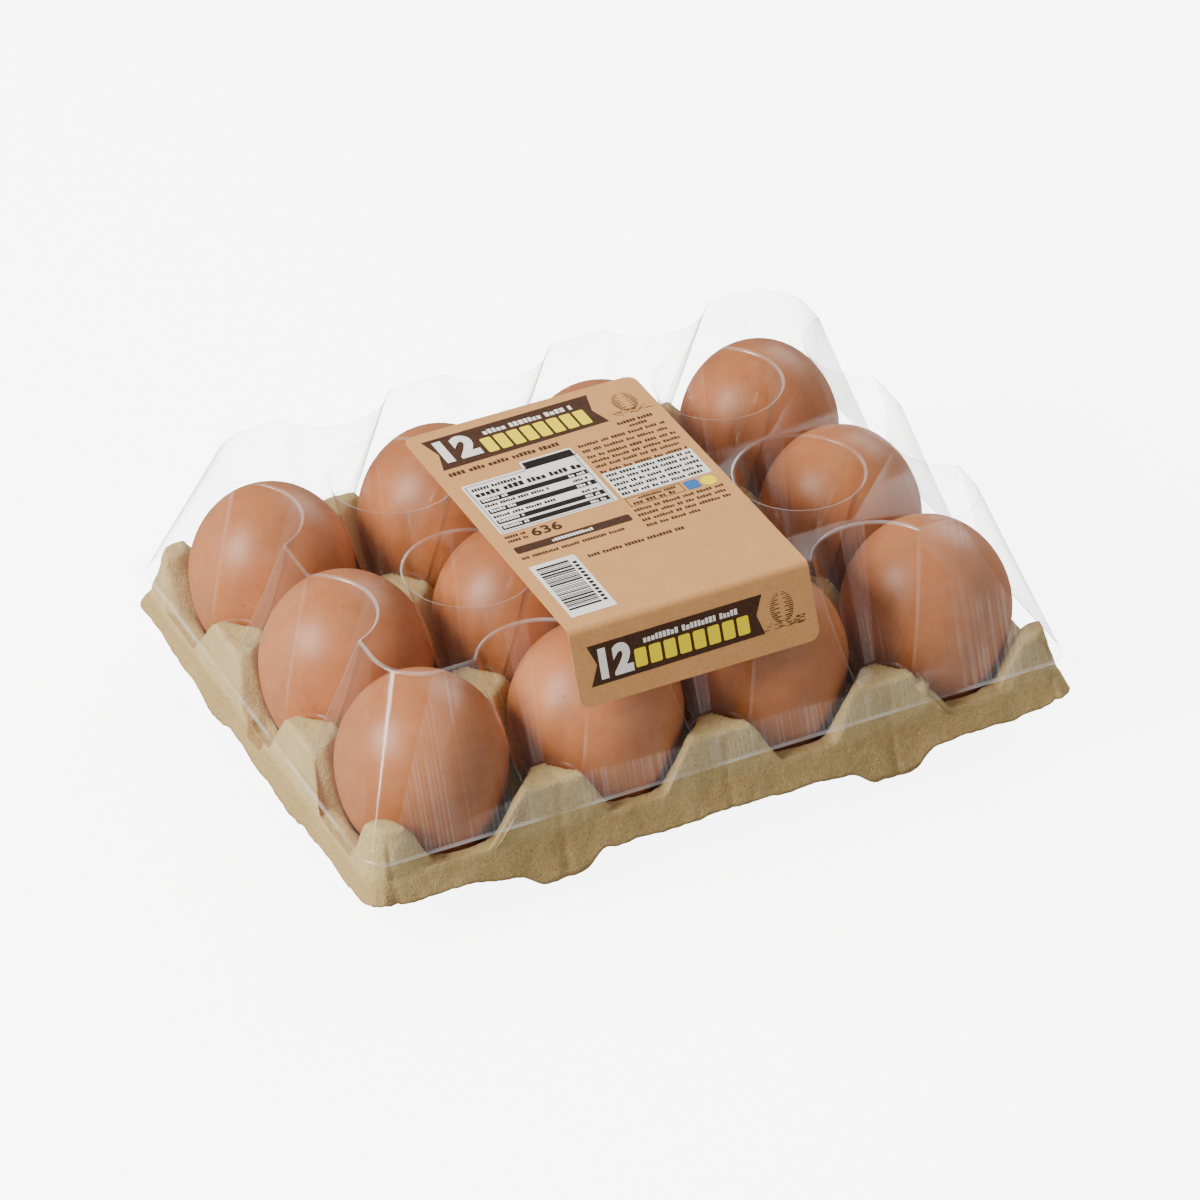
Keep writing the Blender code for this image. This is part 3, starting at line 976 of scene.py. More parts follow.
    def build(self, pulp: Material) -> None:
        """Make the tray.

        Args:
            pulp: Its material.
        """
        points, columns, rows = self.surface()
        index = np.arange(columns * rows).reshape(columns, rows)
        corners = (index[:-1, :-1], index[1:, :-1], index[1:, 1:], index[:-1, 1:])
        faces = np.stack(corners, axis=-1).reshape(-1, 4).tolist()
        tray = from_parts("tray_pulp", points, faces, pulp)
        self.roughen(tray.data)
        thicken(tray, self.wall).shade_smooth()
        dress(tray, "pulp", "tray")


def grow(name: str, tree: Tree, values: dict[str, Any], mesh: Mesh | None = None) -> Object:
    """Run a Geometry Nodes tree and keep its result as a plain mesh.

    Args:
        name: Name of the piece.
        tree: The tree.
        values: Values of its named inputs.
        mesh: Mesh that it starts from, if it needs one.

    Returns:
        The new piece.
    """
    carrier = put(name, mesh or bpy.data.meshes.new(name))
    modifier = carrier.modifiers.new("form", "NODES")
    modifier.node_group = tree
    for item in tree.interface.items_tree:
        if item.in_out == "INPUT" and item.name in values:
            modifier[item.identifier] = values[item.name]
    return freeze(carrier)


@dataclass(frozen=True)
class EggSize:
    """Size and place of one egg in its cup, with angles in degrees."""

    column: int
    row: int
    width: float
    length: float
    lean_x: float
    lean_y: float
    shift: float
    tone: float


@dataclass(frozen=True)
class Eggs:
    """The eggs, grown from one Geometry Nodes tree."""

    layout: Layout
    sizes: tuple[EggSize, ...]
    rest_height: float = 1.9
    blunt_share: float = 0.45
    uneven: float = 0.7
    segments: int = 80
    rings: int = 56

    def form(self, shell: Material) -> Tree:
        """Build the tree that makes an egg from its sizes.

        Args:
            shell: Material of the shell.

        Returns:
            The tree.
        """
        graph, given = open_group("egg_form", "GeometryNodeTree", {
            "Width": 0.0, "Length": 0.0, "Blunt Share": 0.0, "Uneven": 0.0, "Tone": 0.0,
            "Lean": ORIGIN, "Place": ORIGIN,
        }, "Egg")
        place = graph.out(0, "GeometryNodeInputPosition")
        x, y, z = graph.parts(place)
        blunt = given["Length"] * given["Blunt Share"]
        pointed = given["Length"] - blunt
        height = z * (pointed + graph.math("GREATER_THAN", z, 0.0) * (blunt - pointed)) + pointed
        cloud = graph.out("Fac", "ShaderNodeTexNoise", {
            "Vector": graph.vector("ADD", place, given["Place"]), "Scale": 1.1, "Detail": 1.0,
        })
        radius = given["Width"] * 0.5 + (cloud - 0.5) * given["Uneven"]
        form = graph.out(0, "ShaderNodeCombineXYZ", {0: x * radius, 1: y * radius, 2: height})
        leaned = graph.vector("ADD", graph.turn(form, given["Lean"]), given["Place"])
        egg = graph.out("Mesh", "GeometryNodeMeshUVSphere", {
            "Segments": self.segments, "Rings": self.rings, "Radius": 1.0,
        })
        egg = graph.out(0, "GeometryNodeSetPosition", {"Geometry": egg, "Position": leaned})
        egg = graph.out(0, "GeometryNodeSetShadeSmooth", {"Geometry": egg})
        egg = graph.out(0, "GeometryNodeStoreNamedAttribute", {
            "Geometry": egg, "Name": "tone", "Value": given["Tone"],
        }, data_type="FLOAT", domain="POINT")
        egg = graph.out(0, "GeometryNodeRealizeInstances", {"Geometry": egg})
        egg = graph.out(0, "GeometryNodeSetMaterial", {"Geometry": egg, "Material": shell})
        return graph.close("Egg", egg)

    def build(self, shell: Material) -> None:
        """Make every egg.

        Args:
            shell: Material of the shell.
        """
        tree, grid = self.form(shell), self.layout
        for size in self.sizes:
            number = f"{size.row + 1}_{size.column + 1}"
            x, y = grid.middle(size.column, grid.columns), grid.middle(size.row, grid.rows)
            egg = grow(f"shell_{number}", tree, {
                "Width": size.width * MM, "Length": size.length * MM, "Tone": size.tone,
                "Blunt Share": self.blunt_share, "Uneven": self.uneven * MM,
                "Lean": (-math.radians(size.lean_y), math.radians(size.lean_x), 0.0),
                "Place": ((x + size.shift) * MM, y * MM, self.rest_height * MM),
            })
            dress(egg, "shell", f"egg_{number}")


@dataclass(frozen=True)
class ClearLid:
    """The clear lid: flat top, sloping walls, flange, and recesses that stand on the posts."""

    layout: Layout
    top: float = 70.45
    half: Point = (87.0, 62.0)
    slope: float = 0.326
    top_corner: float = 14.0
    wall_corner: float = 6.0
    flange_top: float = 26.0
    flange_width: float = 2.3
    flange_corner: float = 2.0
    flange_depth: float = 0.6
    foot_height: float = 33.5
    foot_radius: float = 7.75
    mouth_radius: float = 17.4
    mouth_over: float = 3.0
    side_inset: float = 2.6
    sides: int = 64
    corner_steps: int = 14
    weld: float = 0.25
    margin: float = 0.05
    flat_angle: float = 0.6
    crease_angle: float = 24.0
    crease: float = 0.65
    sharp_angle: float = 40.0

    @property
    def base(self) -> float:
        """Return the height of the flange's underside."""
        return self.flange_top - self.flange_depth

    def loop(self, half: Point, corner: float, height: float) -> list[Place]:
        """List the points of a rounded rectangle at one height."""
        points = rounded((-half[0], half[0]), (-half[1], half[1]), corner, self.corner_steps)
        return [(x, y, height) for x, y in points]

    def loft(self, name: str, loops: list[list[Place]], film: Material) -> Object:
        """Join loops, lowest first, into a closed body.

        Args:
            name: Name of the body.
            loops: Loops of equal length.
            film: Its material.

        Returns:
            The body.
        """
        count = len(loops[0])
        points = [point for loop in loops for point in loop]
        faces = [list(range(count))[::-1], [len(points) - count + index for index in range(count)]]
        for start in range(0, len(points) - count, count):
            for index in range(count):
                low, following = start + index, start + (index + 1) % count
                faces.append([low, following, following + count, low + count])
        return from_parts(name, points, faces, film)

    def recess_tree(self, film: Material) -> Tree:
        """Build the tree that sets one slanting cone on each point.

        Args:
            film: Material of the cones.

        Returns:
            The tree.
        """
        graph, given = open_group("recess_cones", "GeometryNodeTree", {
            "Feet": None, "Foot Radius": 0.0, "Mouth Radius": 0.0, "Depth": 0.0, "Foot Height": 0.0,
            "Inset": 0.0,
        }, "Cones")
        cone = graph.out("Mesh", "GeometryNodeMeshCone", {
            "Vertices": self.sides, "Radius Top": given["Mouth Radius"],
            "Radius Bottom": given["Foot Radius"], "Depth": given["Depth"],
        })
        cones = graph.out(0, "GeometryNodeInstanceOnPoints", {
            "Points": given["Feet"], "Instance": cone,
        })
        cones = graph.out(0, "GeometryNodeRealizeInstances", {"Geometry": cones})
        height = graph.parts(graph.out(0, "GeometryNodeInputPosition"))[2]
        inset = (height - given["Foot Height"]) / given["Depth"] * given["Inset"]
        inward = graph.out(0, "GeometryNodeInputNamedAttribute", {
            "Name": "inward",
        }, data_type="FLOAT_VECTOR")
        moved = graph.out(0, "ShaderNodeVectorMath", {0: inward, "Scale": inset}, operation="SCALE")
        cones = graph.out(0, "GeometryNodeSetPosition", {"Geometry": cones, "Offset": moved})
        cones = graph.out(0, "GeometryNodeSetMaterial", {"Geometry": cones, "Material": film})
        return graph.close("Cones", cones)

    def recesses(self, film: Material) -> Object:
        """Make the cones that cut the recesses, at every crossing but the corners.

        Args:
            film: Their material.

        Returns:
            One body with every cone.
        """
        feet, inward = [], []
        grid = self.layout
        for column, row in product(range(grid.columns + 1), range(grid.rows + 1)):
            at_end = column in (0, grid.columns)
            at_side = row in (0, grid.rows)
            if not (at_end and at_side):
                x, y = grid.line(column, grid.columns), grid.line(row, grid.rows)
                feet.append((x * MM, y * MM, self.foot_height * MM))
                inward += [-math.copysign(at_end, x), -math.copysign(at_side, y), 0.0]
        mesh = bpy.data.meshes.new("recess_feet")
        mesh.from_pydata(feet, [], [])
        mesh.attributes.new("inward", "FLOAT_VECTOR", "POINT").data.foreach_set("vector", inward)
        depth = self.top - self.foot_height
        grown = (depth + self.mouth_over) / depth
        mouth = self.foot_radius + (self.mouth_radius - self.foot_radius) * grown
        return grow("recess_cutter", self.recess_tree(film), {
            "Foot Radius": self.foot_radius * MM, "Mouth Radius": mouth * MM,
            "Depth": (depth + self.mouth_over) * MM, "Foot Height": self.foot_height * MM,
            "Inset": self.side_inset * grown * MM,
        }, mesh)

    @staticmethod
    def below(body: bmesh.types.BMesh, height: float) -> list[bmesh.types.BMFace]:
        """List the faces whose middle is below a height."""
        return [face for face in body.faces if face.calc_center_median().z < height * MM]

    def crease_sheet(self, mesh: Mesh) -> None:
        """Open the block's underside and round its creases.

        Args:
            mesh: Mesh of the lid.
        """
        body = bmesh.new()
        body.from_mesh(mesh)
        bmesh.ops.remove_doubles(body, verts=body.verts, dist=self.weld * MM)
        bmesh.ops.delete(body, geom=self.below(body, self.base + self.margin), context="FACES")
        bmesh.ops.dissolve_limit(
            body, angle_limit=math.radians(self.flat_angle), verts=body.verts, edges=body.edges,
        )
        rim = set(self.below(body, self.flange_top - self.margin))
        for face in body.faces:
            face.material_index = int(face in rim)
        sharp = [
            edge for edge in body.edges
            if len(edge.link_faces) == 2 and not rim.intersection(edge.link_faces)
            and edge.calc_face_angle() > math.radians(self.crease_angle)
        ]
        bmesh.ops.bevel(
            body, geom=sharp, offset=self.crease * MM, segments=3, profile=0.5, affect="EDGES",
            clamp_overlap=False, material=1,
        )
        body.to_mesh(mesh)
        body.free()

    def build(self, film: Material, edge: Material) -> None:
        """Make the lid as one thin sheet.

        Args:
            film: Material of its walls.
            edge: Material of its creases and the flange's outer faces, which carries a painted
                highlight.
        """
        run = self.slope * (self.top - self.flange_top)
        loops = []
        for height in (self.base, self.top):
            out = self.slope * (self.top - height)
            share = (self.top - height) / (self.top - self.flange_top)
            corner = self.top_corner + (self.wall_corner - self.top_corner) * share
            loops.append(self.loop((self.half[0] + out, self.half[1] + out), corner, height))
        lid = self.loft("lid_film", loops, film)
        combine(lid, self.recesses(film), "DIFFERENCE")
        reach = run + self.flange_width
        half, heights = (self.half[0] + reach, self.half[1] + reach), (self.base, self.flange_top)
        loops = [self.loop(half, self.flange_corner, height) for height in heights]
        combine(lid, self.loft("flange", loops, film), "UNION")
        lid.data.materials.clear()
        for material in (film, edge):
            lid.data.materials.append(material)
        self.crease_sheet(lid.data)
        smooth(lid.data, self.sharp_angle)
        dress(lid, "film", "lid")


class Panel(Enum):
    """The two printed faces of the band."""

    TOP = "top"
    FLAP = "flap"


class Ink(Enum):
    """The printed colours, in the order of the print's material slots."""

    BROWN = 0
    WHITE = 1
    YELLOW = 2
    BLACK = 3
    BLUE = 4


@dataclass(frozen=True)
class PaperBand:
    """The paper band over the lid."""

    lid: ClearLid
    paper: float = 0.3
    gap: float = 0.3
    back: float = 37.2
    flap: float = 21.5
    left_back: float = -39.4
    right_back: float = 28.8
    left_run: float = 0.0131
    right_run: float = 0.0202
    corner: float = 3.0
    corner_places: tuple[float, ...] = (0.0, 0.08, 0.25, 0.55, 0.95, 1.5, 2.2)
    flat_begins: float = 4.5
    flat_steps: int = 26
    bend_steps: int = 12
    flap_steps: int = 8
    bend: float = 1.5
    across: int = 16
    sharp_angle: float = 50.0

    @property
    def lift(self) -> float:
        """Return the height of the paper's outer face above the lid."""
        return self.gap + self.paper

    @property
    def wall_angle(self) -> float:
        """Return the angle that the band turns through over the lid's front edge."""
        return math.pi / 2 - math.atan(self.lid.slope)

    @property
    def centre(self) -> Vector:
        """Return the middle of the bend, as Y and Z."""
        tangent = self.bend * math.tan(self.wall_angle / 2)
        return Vector((-self.lid.half[1] + tangent, self.lid.top - self.bend))

    @property
    def flat(self) -> float:
        """Return the length of the flat top."""
        return self.back - self.centre.x

    @property
    def flap_start(self) -> float:
        """Return where the flat flap begins, along the outer face."""
        return self.flat + (self.bend + self.lift) * self.wall_angle

    @property
    def mitre(self) -> float:
        """Return how far the bend's end lies from the sharp corner that it rounds."""
        return (self.bend + self.lift) * math.tan(self.wall_angle / 2)

    def profile(self, place: float, raised: float) -> Vector:
        """Return a point of the band's section.

        Args:
            place: Distance from the back edge along the outer face.
            raised: Distance above the outer face.

        Returns:
            Its Y and Z.
        """
        radius = self.bend + self.lift
        if place <= self.flat:
            return Vector((self.back - place, self.lid.top + self.lift + raised))
        angle = min((place - self.flat) / radius, self.wall_angle)
        normal = Vector((-math.sin(angle), math.cos(angle)))
        down = Vector((-math.cos(self.wall_angle), -math.sin(self.wall_angle)))
        return self.centre + normal * (radius + raised) + down * max(place - self.flap_start, 0.0)

    def on_panel(self, panel: Panel, x: float, along: float, raised: float) -> Place:
        """Return the place of a point of the print.

        Args:
            panel: The face that it is on.
            x: Place across the band.
            along: Y on the top, or minus the distance down from the fold on the flap.
            raised: Distance above the paper.

        Returns:
            The place in millimetres.
        """
        place = self.back - along if panel is Panel.TOP else self.flap_start - along - self.mitre
        section = self.profile(place, raised)
        return x, section.x, section.y

    def build(self, kraft: Material) -> None:
        """Make the paper.

        Args:
            kraft: Its material.
        """
        start, end = self.flap_start, self.flap_start + self.flap - self.mitre
        places = [
            *self.corner_places, self.corner,
            *np.linspace(self.flat_begins, self.flat, self.flat_steps),
            *np.linspace(self.flat, start, self.bend_steps)[1:],
            *np.linspace(start, end - self.corner, self.flap_steps)[1:],
            *(end - place for place in reversed(self.corner_places)),
        ]
        points, faces = [], []
        for place in places:
            short = self.corner - min(place, end - place)
            cut = self.corner - math.sqrt(self.corner ** 2 - short ** 2) if short > 0 else 0.0
            low = self.left_back + self.left_run * place + cut
            high = self.right_back + self.right_run * place - cut
            section = self.profile(place, 0.0)
            for step in range(self.across + 1):
                points.append((low + (high - low) * step / self.across, section.x, section.y))
        stride = self.across + 1
        for row in range(len(places) - 1):
            for first in range(row * stride, row * stride + self.across):
                faces.append([first, first + stride, first + stride + 1, first + 1])
        sheet = from_parts("band_paper", points, faces, kraft)
        smooth(thicken(sheet, self.paper), self.sharp_angle)
        dress(sheet, "paper", "label")


class Print:
    """Fields of colour, bars and plain numbers on the band, on one face at a time."""

    LIFT = {Ink.BROWN: 0.05, Ink.WHITE: 0.10, Ink.YELLOW: 0.10, Ink.BLACK: 0.15, Ink.BLUE: 0.10}
    TURN = {Panel.TOP: 0.8, Panel.FLAP: 0.45}
    OUTSIDE = {Panel.TOP: Vector((0.0, 0.0, 1.0)), Panel.FLAP: Vector((0.0, -1.0, 0.3))}
    RIBBONS = {
        Panel.TOP: (
            [(-35.7, 18.6), (13.6, 19.9), (11.6, 26.6), (13.4, 34.0), (-35.7, 33.3), (-33.8, 25.9)],
            ((-33.3, -22.6), (21.4, 32.0)), ((-19.0, 8.0), (29.3, 31.3)),
            ((-21.2, 10.2), (21.1, 28.0)),
        ),
        Panel.FLAP: (
            [(-34.0, -16.4), (15.9, -15.8), (14.2, -10.3), (16.5, -5.0), (-33.8, -5.4),
             (-31.6, -10.8)],
            ((-31.0, -21.6), (-15.1, -6.6)), ((-18.0, 10.6), (-8.5, -6.9)),
            ((-21.0, 12.7), (-14.5, -9.5)),
        ),
    }
    DRAWINGS = {Panel.TOP: ((21.2, 26.3), (3.4, 4.6)), Panel.FLAP: ((21.6, -10.2), (3.4, 4.4))}
    LETTER, NARROW, SPACE, TALL = 0.62, 0.7, 0.28, (1.0, 1.0, 0.78)
    STROKE = 0.16
    SEED = 12

    def __init__(self, band: PaperBand, inks: dict[Ink, Material]) -> None:
        """Start an empty print.

        Args:
            band: The band that it lies on.
            inks: Material of each ink.
        """
        self.band = band
        self.inks = inks
        self.panel = Panel.TOP
        self.body = bmesh.new()
        self.chance = random.Random(self.SEED)

    @property
    def skew(self) -> float:
        """Return the angle by which the face's print is turned."""
        return math.radians(self.TURN[self.panel])

    def spots(self, points: Sequence[Point], height: float) -> list[bmesh.types.BMVert]:
        """Set corners on the face at a height above the paper."""
        places = [self.band.on_panel(self.panel, x, y, height) for x, y in points]
        return [self.body.verts.new(Vector(place) * MM) for place in places]

    def fill(self, ink: Ink, corners: Sequence[bmesh.types.BMVert]) -> None:
        """Fill the field between corners so that it looks outwards.

        Args:
            ink: Its colour.
            corners: Its corners.
        """
        face = self.body.faces.new(corners)
        face.material_index = ink.value
        face.normal_update()
        if face.normal.dot(self.OUTSIDE[self.panel]) < 0:
            face.normal_flip()

    def shape(self, ink: Ink, outline: Sequence[Point], raised: float = 0.0) -> None:
        """Add one filled shape, at an extra distance above the paper."""
        self.fill(ink, self.spots(outline, self.LIFT[ink] + raised))

    def turned(self, outline: Sequence[Point]) -> list[Point]:
        """Turn a shape about its middle with the face's small skew.

        Args:
            outline: Points of the shape.

        Returns:
            The turned points.
        """
        middle = [sum(point[axis] for point in outline) / len(outline) for axis in (0, 1)]
        cosine, sine = math.cos(self.skew), math.sin(self.skew)
        return [
            (
                middle[0] + (x - middle[0]) * cosine - (y - middle[1]) * sine,
                middle[1] + (x - middle[0]) * sine + (y - middle[1]) * cosine,
            )
            for x, y in outline
        ]

    def bar(self, ink: Ink, x: Point, y: Point, radius: float = 0.0) -> None:
        """Add a bar between its ends across and along the band, with rounded corners."""
        self.shape(ink, self.turned(rounded(x, y, radius, 5 if radius > 0 else 0)))

    def line(
        self, ink: Ink, x: Point, y: Point, words: Point, gap: float, raised: float = 0.0,
    ) -> None:
        """Add a row of small blocks in place of a line of words.

        Args:
            ink: Its colour.
            x: Ends of the row.
            y: Lower and upper edge.
            words: Least and greatest length of a word.
            gap: Gap between words.
            raised: Extra distance above the paper.
        """
        height = y[1] - y[0]
        letter = height * self.LETTER
        middle = (x[0] + x[1]) / 2
        place = x[0]
        while place < x[1] - letter:
            stop = min(place + self.chance.uniform(*words), x[1])
            while place + letter * self.NARROW < stop:
                end = place + letter * self.chance.uniform(self.NARROW, 1.0)
                low = y[0] + (place - middle) * math.tan(self.skew)
                high = low + height * self.chance.choice(self.TALL)
                self.shape(ink, [(place, low), (end, low), (end, high), (place, high)], raised)
                place = end + letter * self.SPACE
            place += gap

    def lines(
        self, ink: Ink, x: Point, levels: Sequence[float], half: float, words: Point, gap: float,
    ) -> None:
        """Add rows of equal height about several levels."""
        for level in levels:
            self.line(ink, x, (level - half, level + half), words, gap)

    def number(self, ink: Ink, text: str, x: Point, y: Point, bold: float) -> None:
        """Add a plain number that fills a field.

        Args:
            ink: Its colour.
            text: The digits.
            x: Its ends across the band.
            y: Its lower and upper edge.
            bold: Thickening of the strokes as a share of the height.
        """
        curve = bpy.data.curves.new("digits", "FONT")
        curve.body = text
        curve.offset = bold
        curve.space_character = 1.0 + bold * 2
        curve.resolution_u = 4
        carrier = put("digits", curve)
        shape = carrier.evaluated_get(bpy.context.evaluated_depsgraph_get())
        mesh = bpy.data.meshes.new_from_object(shape)
        bpy.data.objects.remove(carrier, do_unlink=True)
        bpy.data.curves.remove(curve)
        spots = np.array([vertex.co[:2] for vertex in mesh.vertices])
        low, high = spots.min(axis=0), spots.max(axis=0)
        spots = (spots - low) / (high - low) * (x[1] - x[0], y[1] - y[0]) + (x[0], y[0])
        made = self.spots(self.turned(spots.tolist()), self.LIFT[ink])
        for polygon in mesh.polygons:
            self.fill(ink, [made[index] for index in polygon.vertices])
        bpy.data.meshes.remove(mesh)

    def disc(self, ink: Ink, middle: Point, radius: float, sides: int = 28) -> None:
        """Add a round field.

        Args:
            ink: Its colour.
            middle: Its middle.
            radius: Its radius.
            sides: Number of its corners.
        """
        angles = [2 * math.pi * step / sides for step in range(sides)]
        self.shape(ink, [
            (middle[0] + radius * math.cos(angle), middle[1] + radius * math.sin(angle))
            for angle in angles
        ])

    def ribbon(
        self, outline: Sequence[Point], number: tuple[Point, Point], small: tuple[Point, Point],
        large: tuple[Point, Point], count: int = 8,
    ) -> None:
        """Add the dark ribbon with its number, its row of small blocks and its yellow blocks.

        Args:
            outline: Corners of the ribbon.
            number: Field of the number.
            small: Field of the small white row.
            large: Field of the yellow blocks.
            count: Number of yellow blocks.
        """
        self.shape(Ink.BROWN, outline)
        self.number(Ink.WHITE, "12", *number, 0.06)
        self.line(Ink.WHITE, *small, (4.0, 10.0), 0.9)
        (left, right), (low, high) = large
        step = (right - left) / count
        for index in range(count):
            start = left + index * step
            shift = (index - count / 2) * step * math.tan(self.skew)
            self.bar(Ink.YELLOW, (start, start + step * 0.8), (low + shift, high + shift), 0.5)

    def drawing(self, middle: Point, half: Point, rows: int = 15, blades: int = 34) -> None:
        """Add a hatched oval on a hatched ground.

        Args:
            middle: Middle of the oval.
            half: Half its width and height.
            rows: Rows of hatching in the oval.
            blades: Strokes of the ground.
        """
        for index in range(rows):
            share = (index + 0.5) / rows * 2 - 1
            reach = half[0] * math.sqrt(1 - share * share)
            level = middle[1] + share * half[1]
            shade = self.STROKE * (1 + (1 - share) / 2)
            for side in (-1, 1):
                inner = reach * (0.25 if index % 2 else 0.55) * self.chance.uniform(0.7, 1.2)
                ends = sorted((middle[0] + side * reach, middle[0] + side * inner))
                self.bar(Ink.BROWN, ends, (level, level + shade))
        for _ in range(blades):
            start = middle[0] + self.chance.uniform(-1.9, 1.7) * half[0]
            level = middle[1] - half[1] * self.chance.uniform(0.75, 1.25)
            end = start + self.chance.uniform(0.5, 1.8)
            self.bar(Ink.BROWN, (start, end), (level, level + self.STROKE))

    def frame(self, ink: Ink, *edges: tuple[Point, Point]) -> None:
        """Add thin rules."""
        for x, y in edges:
            self.bar(ink, x, y)

    def table(self) -> None:
        """Add the white table with its dark bars and rules."""
        self.bar(Ink.WHITE, (-34.9, -0.7), (-15.0, 9.7), 0.5)
        self.bar(Ink.WHITE, (-16.6, -1.3), (9.2, 13.2), 0.5)
        self.bar(Ink.BLACK, (-16.0, -1.7), (9.5, 12.4), 0.3)
        self.frame(
            Ink.BLACK, ((-34.2, -34.0), (-14.3, 8.6)), ((-1.9, -1.7), (-14.3, 9.2)),
            ((-34.2, -1.7), (-14.45, -14.25)), ((-34.2, -16.6), (8.5, 8.7)),
        )
        self.line(Ink.BLACK, (-33.2, -18.5), (5.9, 7.2), (4.0, 7.0), 0.7)
        self.line(Ink.BLACK, (-33.2, -2.4), (3.2, 5.2), (4.0, 9.0), 1.0)
        for low, high in ((-0.2, 1.9), (-5.4, -3.3), (-10.6, -8.6), (-13.6, -11.6)):
            inside = (low + 0.45, high - 0.45)
            self.bar(Ink.BLACK, (-33.3, -2.1), (low, high))
            self.line(Ink.WHITE, (-32.8, -25.0), inside, (3.0, 6.0), 0.6, raised=0.1)
            self.line(Ink.WHITE, (-7.6, -3.0), inside, (2.0, 3.0), 0.6, raised=0.1)
        for level in (-1.6, -7.1):
            self.lines(Ink.BLACK, (-33.2, -14.0), (level,), 0.55, (3.0, 6.0), 0.7)
            self.lines(Ink.BLACK, (-7.5, -3.0), (level,), 0.55, (2.0, 3.0), 0.6)

    def bar_code(self) -> None:
        """Add the white patch with its bars and its column of small blocks."""
        self.bar(Ink.WHITE, (-34.7, -21.5), (-57.3, -31.9), 0.3)
        place = -54.2
        while place < -34.2:
            wide = self.chance.choice((0.28, 0.28, 0.5, 0.75))
            self.bar(Ink.BLACK, (-33.6, -24.3), (place, place + wide))
            place += wide + self.chance.choice((0.3, 0.3, 0.55))
        for index in range(12):
            low = -54.0 + index * 1.66
            self.bar(Ink.BLACK, (-23.7, -22.5), (low, low + 1.05), 0.3)

    def notes(self) -> None:
        """Add the rows, bars and small badges beside and under the table."""
        self.line(Ink.BROWN, (-35.4, -2.4), (15.3, 17.0), (3.5, 9.0), 1.0)
        self.lines(Ink.BROWN, (0.8, 26.9), (12.7, 9.9, 7.0, 4.5, 2.0, -0.9), 0.6, (1.6, 6.0), 0.8)
        self.bar(Ink.WHITE, (0.6, 27.1), (-14.3, -1.8), 0.2)
        self.lines(Ink.BLACK, (1.3, 26.4), (-3.3, -5.6, -8.0, -10.4, -12.8), 0.62, (1.4, 5.5), 0.7)
        self.frame(
            Ink.BROWN, ((1.0, 17.1), (-15.2, -15.0)), ((1.0, 17.1), (-19.1, -18.9)),
            ((1.0, 1.2), (-19.1, -15.0)), ((16.9, 17.1), (-19.1, -15.0)),
        )
        self.line(Ink.BROWN, (4.5, 15.8), (-16.6, -15.6), (6.0, 9.0), 0.6)
        self.line(Ink.BROWN, (2.2, 16.2), (-18.6, -17.2), (2.0, 3.5), 0.9)
        self.bar(Ink.BLUE, (17.9, 21.8), (-19.1, -15.1), 0.5)
        self.disc(Ink.YELLOW, (24.6, -17.3), 2.2)
        for level, end in ((-20.9, 27.0), (-23.4, 26.6), (-25.9, 27.0), (-28.6, 17.0)):
            self.lines(Ink.BROWN, (0.9, end), (level,), 0.6, (1.6, 6.0), 0.8)
        self.number(Ink.BROWN, "636", (-27.4, -18.9), (-19.8, -16.1), 0.03)
        self.lines(Ink.BROWN, (-34.6, -28.3), (-17.0, -19.0), 0.55, (2.5, 4.5), 0.6)
        self.bar(Ink.BROWN, (-34.7, -1.1), (-25.0, -21.9), 0.6)
        self.line(Ink.WHITE, (-24.0, -11.5), (-24.1, -22.9), (12.0, 14.0), 0.6)
        self.line(Ink.BROWN, (-34.6, -4.1), (-28.0, -26.9), (2.0, 8.0), 0.8)
        self.line(Ink.BROWN, (-18.8, 9.8), (-34.7, -33.4), (2.0, 8.0), 0.8)
        self.line(Ink.BROWN, (14.8, 25.5), (17.0, 18.3), (4.0, 9.0), 0.6)
        self.line(Ink.BROWN, (17.3, 23.0), (14.9, 16.1), (5.0, 6.0), 0.6)

    def build(self) -> None:
        """Make the print as one piece."""
        for self.panel, fields in self.RIBBONS.items():
            self.ribbon(*fields)
        for self.panel, fields in self.DRAWINGS.items():
            self.drawing(*fields)
        self.panel = Panel.TOP
        self.notes()
        self.table()
        self.bar_code()
        mesh = bpy.data.meshes.new("band_print")
        many_sided = [face for face in self.body.faces if len(face.verts) > 4]
        bmesh.ops.triangulate(self.body, faces=many_sided)
        self.body.to_mesh(mesh)
        self.body.free()
        for ink in Ink:
            mesh.materials.append(self.inks[ink])
        dress(put("band_print", mesh), "paper")


@dataclass(frozen=True)
class Lamp:
    """One soft square light: place and side in metres, power in watts."""

    name: str
    place: Place
    side: float
    power: float
    colour: Colour
    aim: Place = (0.0, 0.0, 0.03)

    def build(self) -> None:
        """Place the light so that it faces the pack."""
        data = bpy.data.lights.new(self.name, "AREA")
        data.shape = "SQUARE"
        data.size = self.side
        data.energy = self.power
        data.color = self.colour
        light = put(self.name, data)
        light.location = self.place
        away = Vector(self.place) - Vector(self.aim)
        light.rotation_euler = away.to_track_quat("Z", "Y").to_euler()


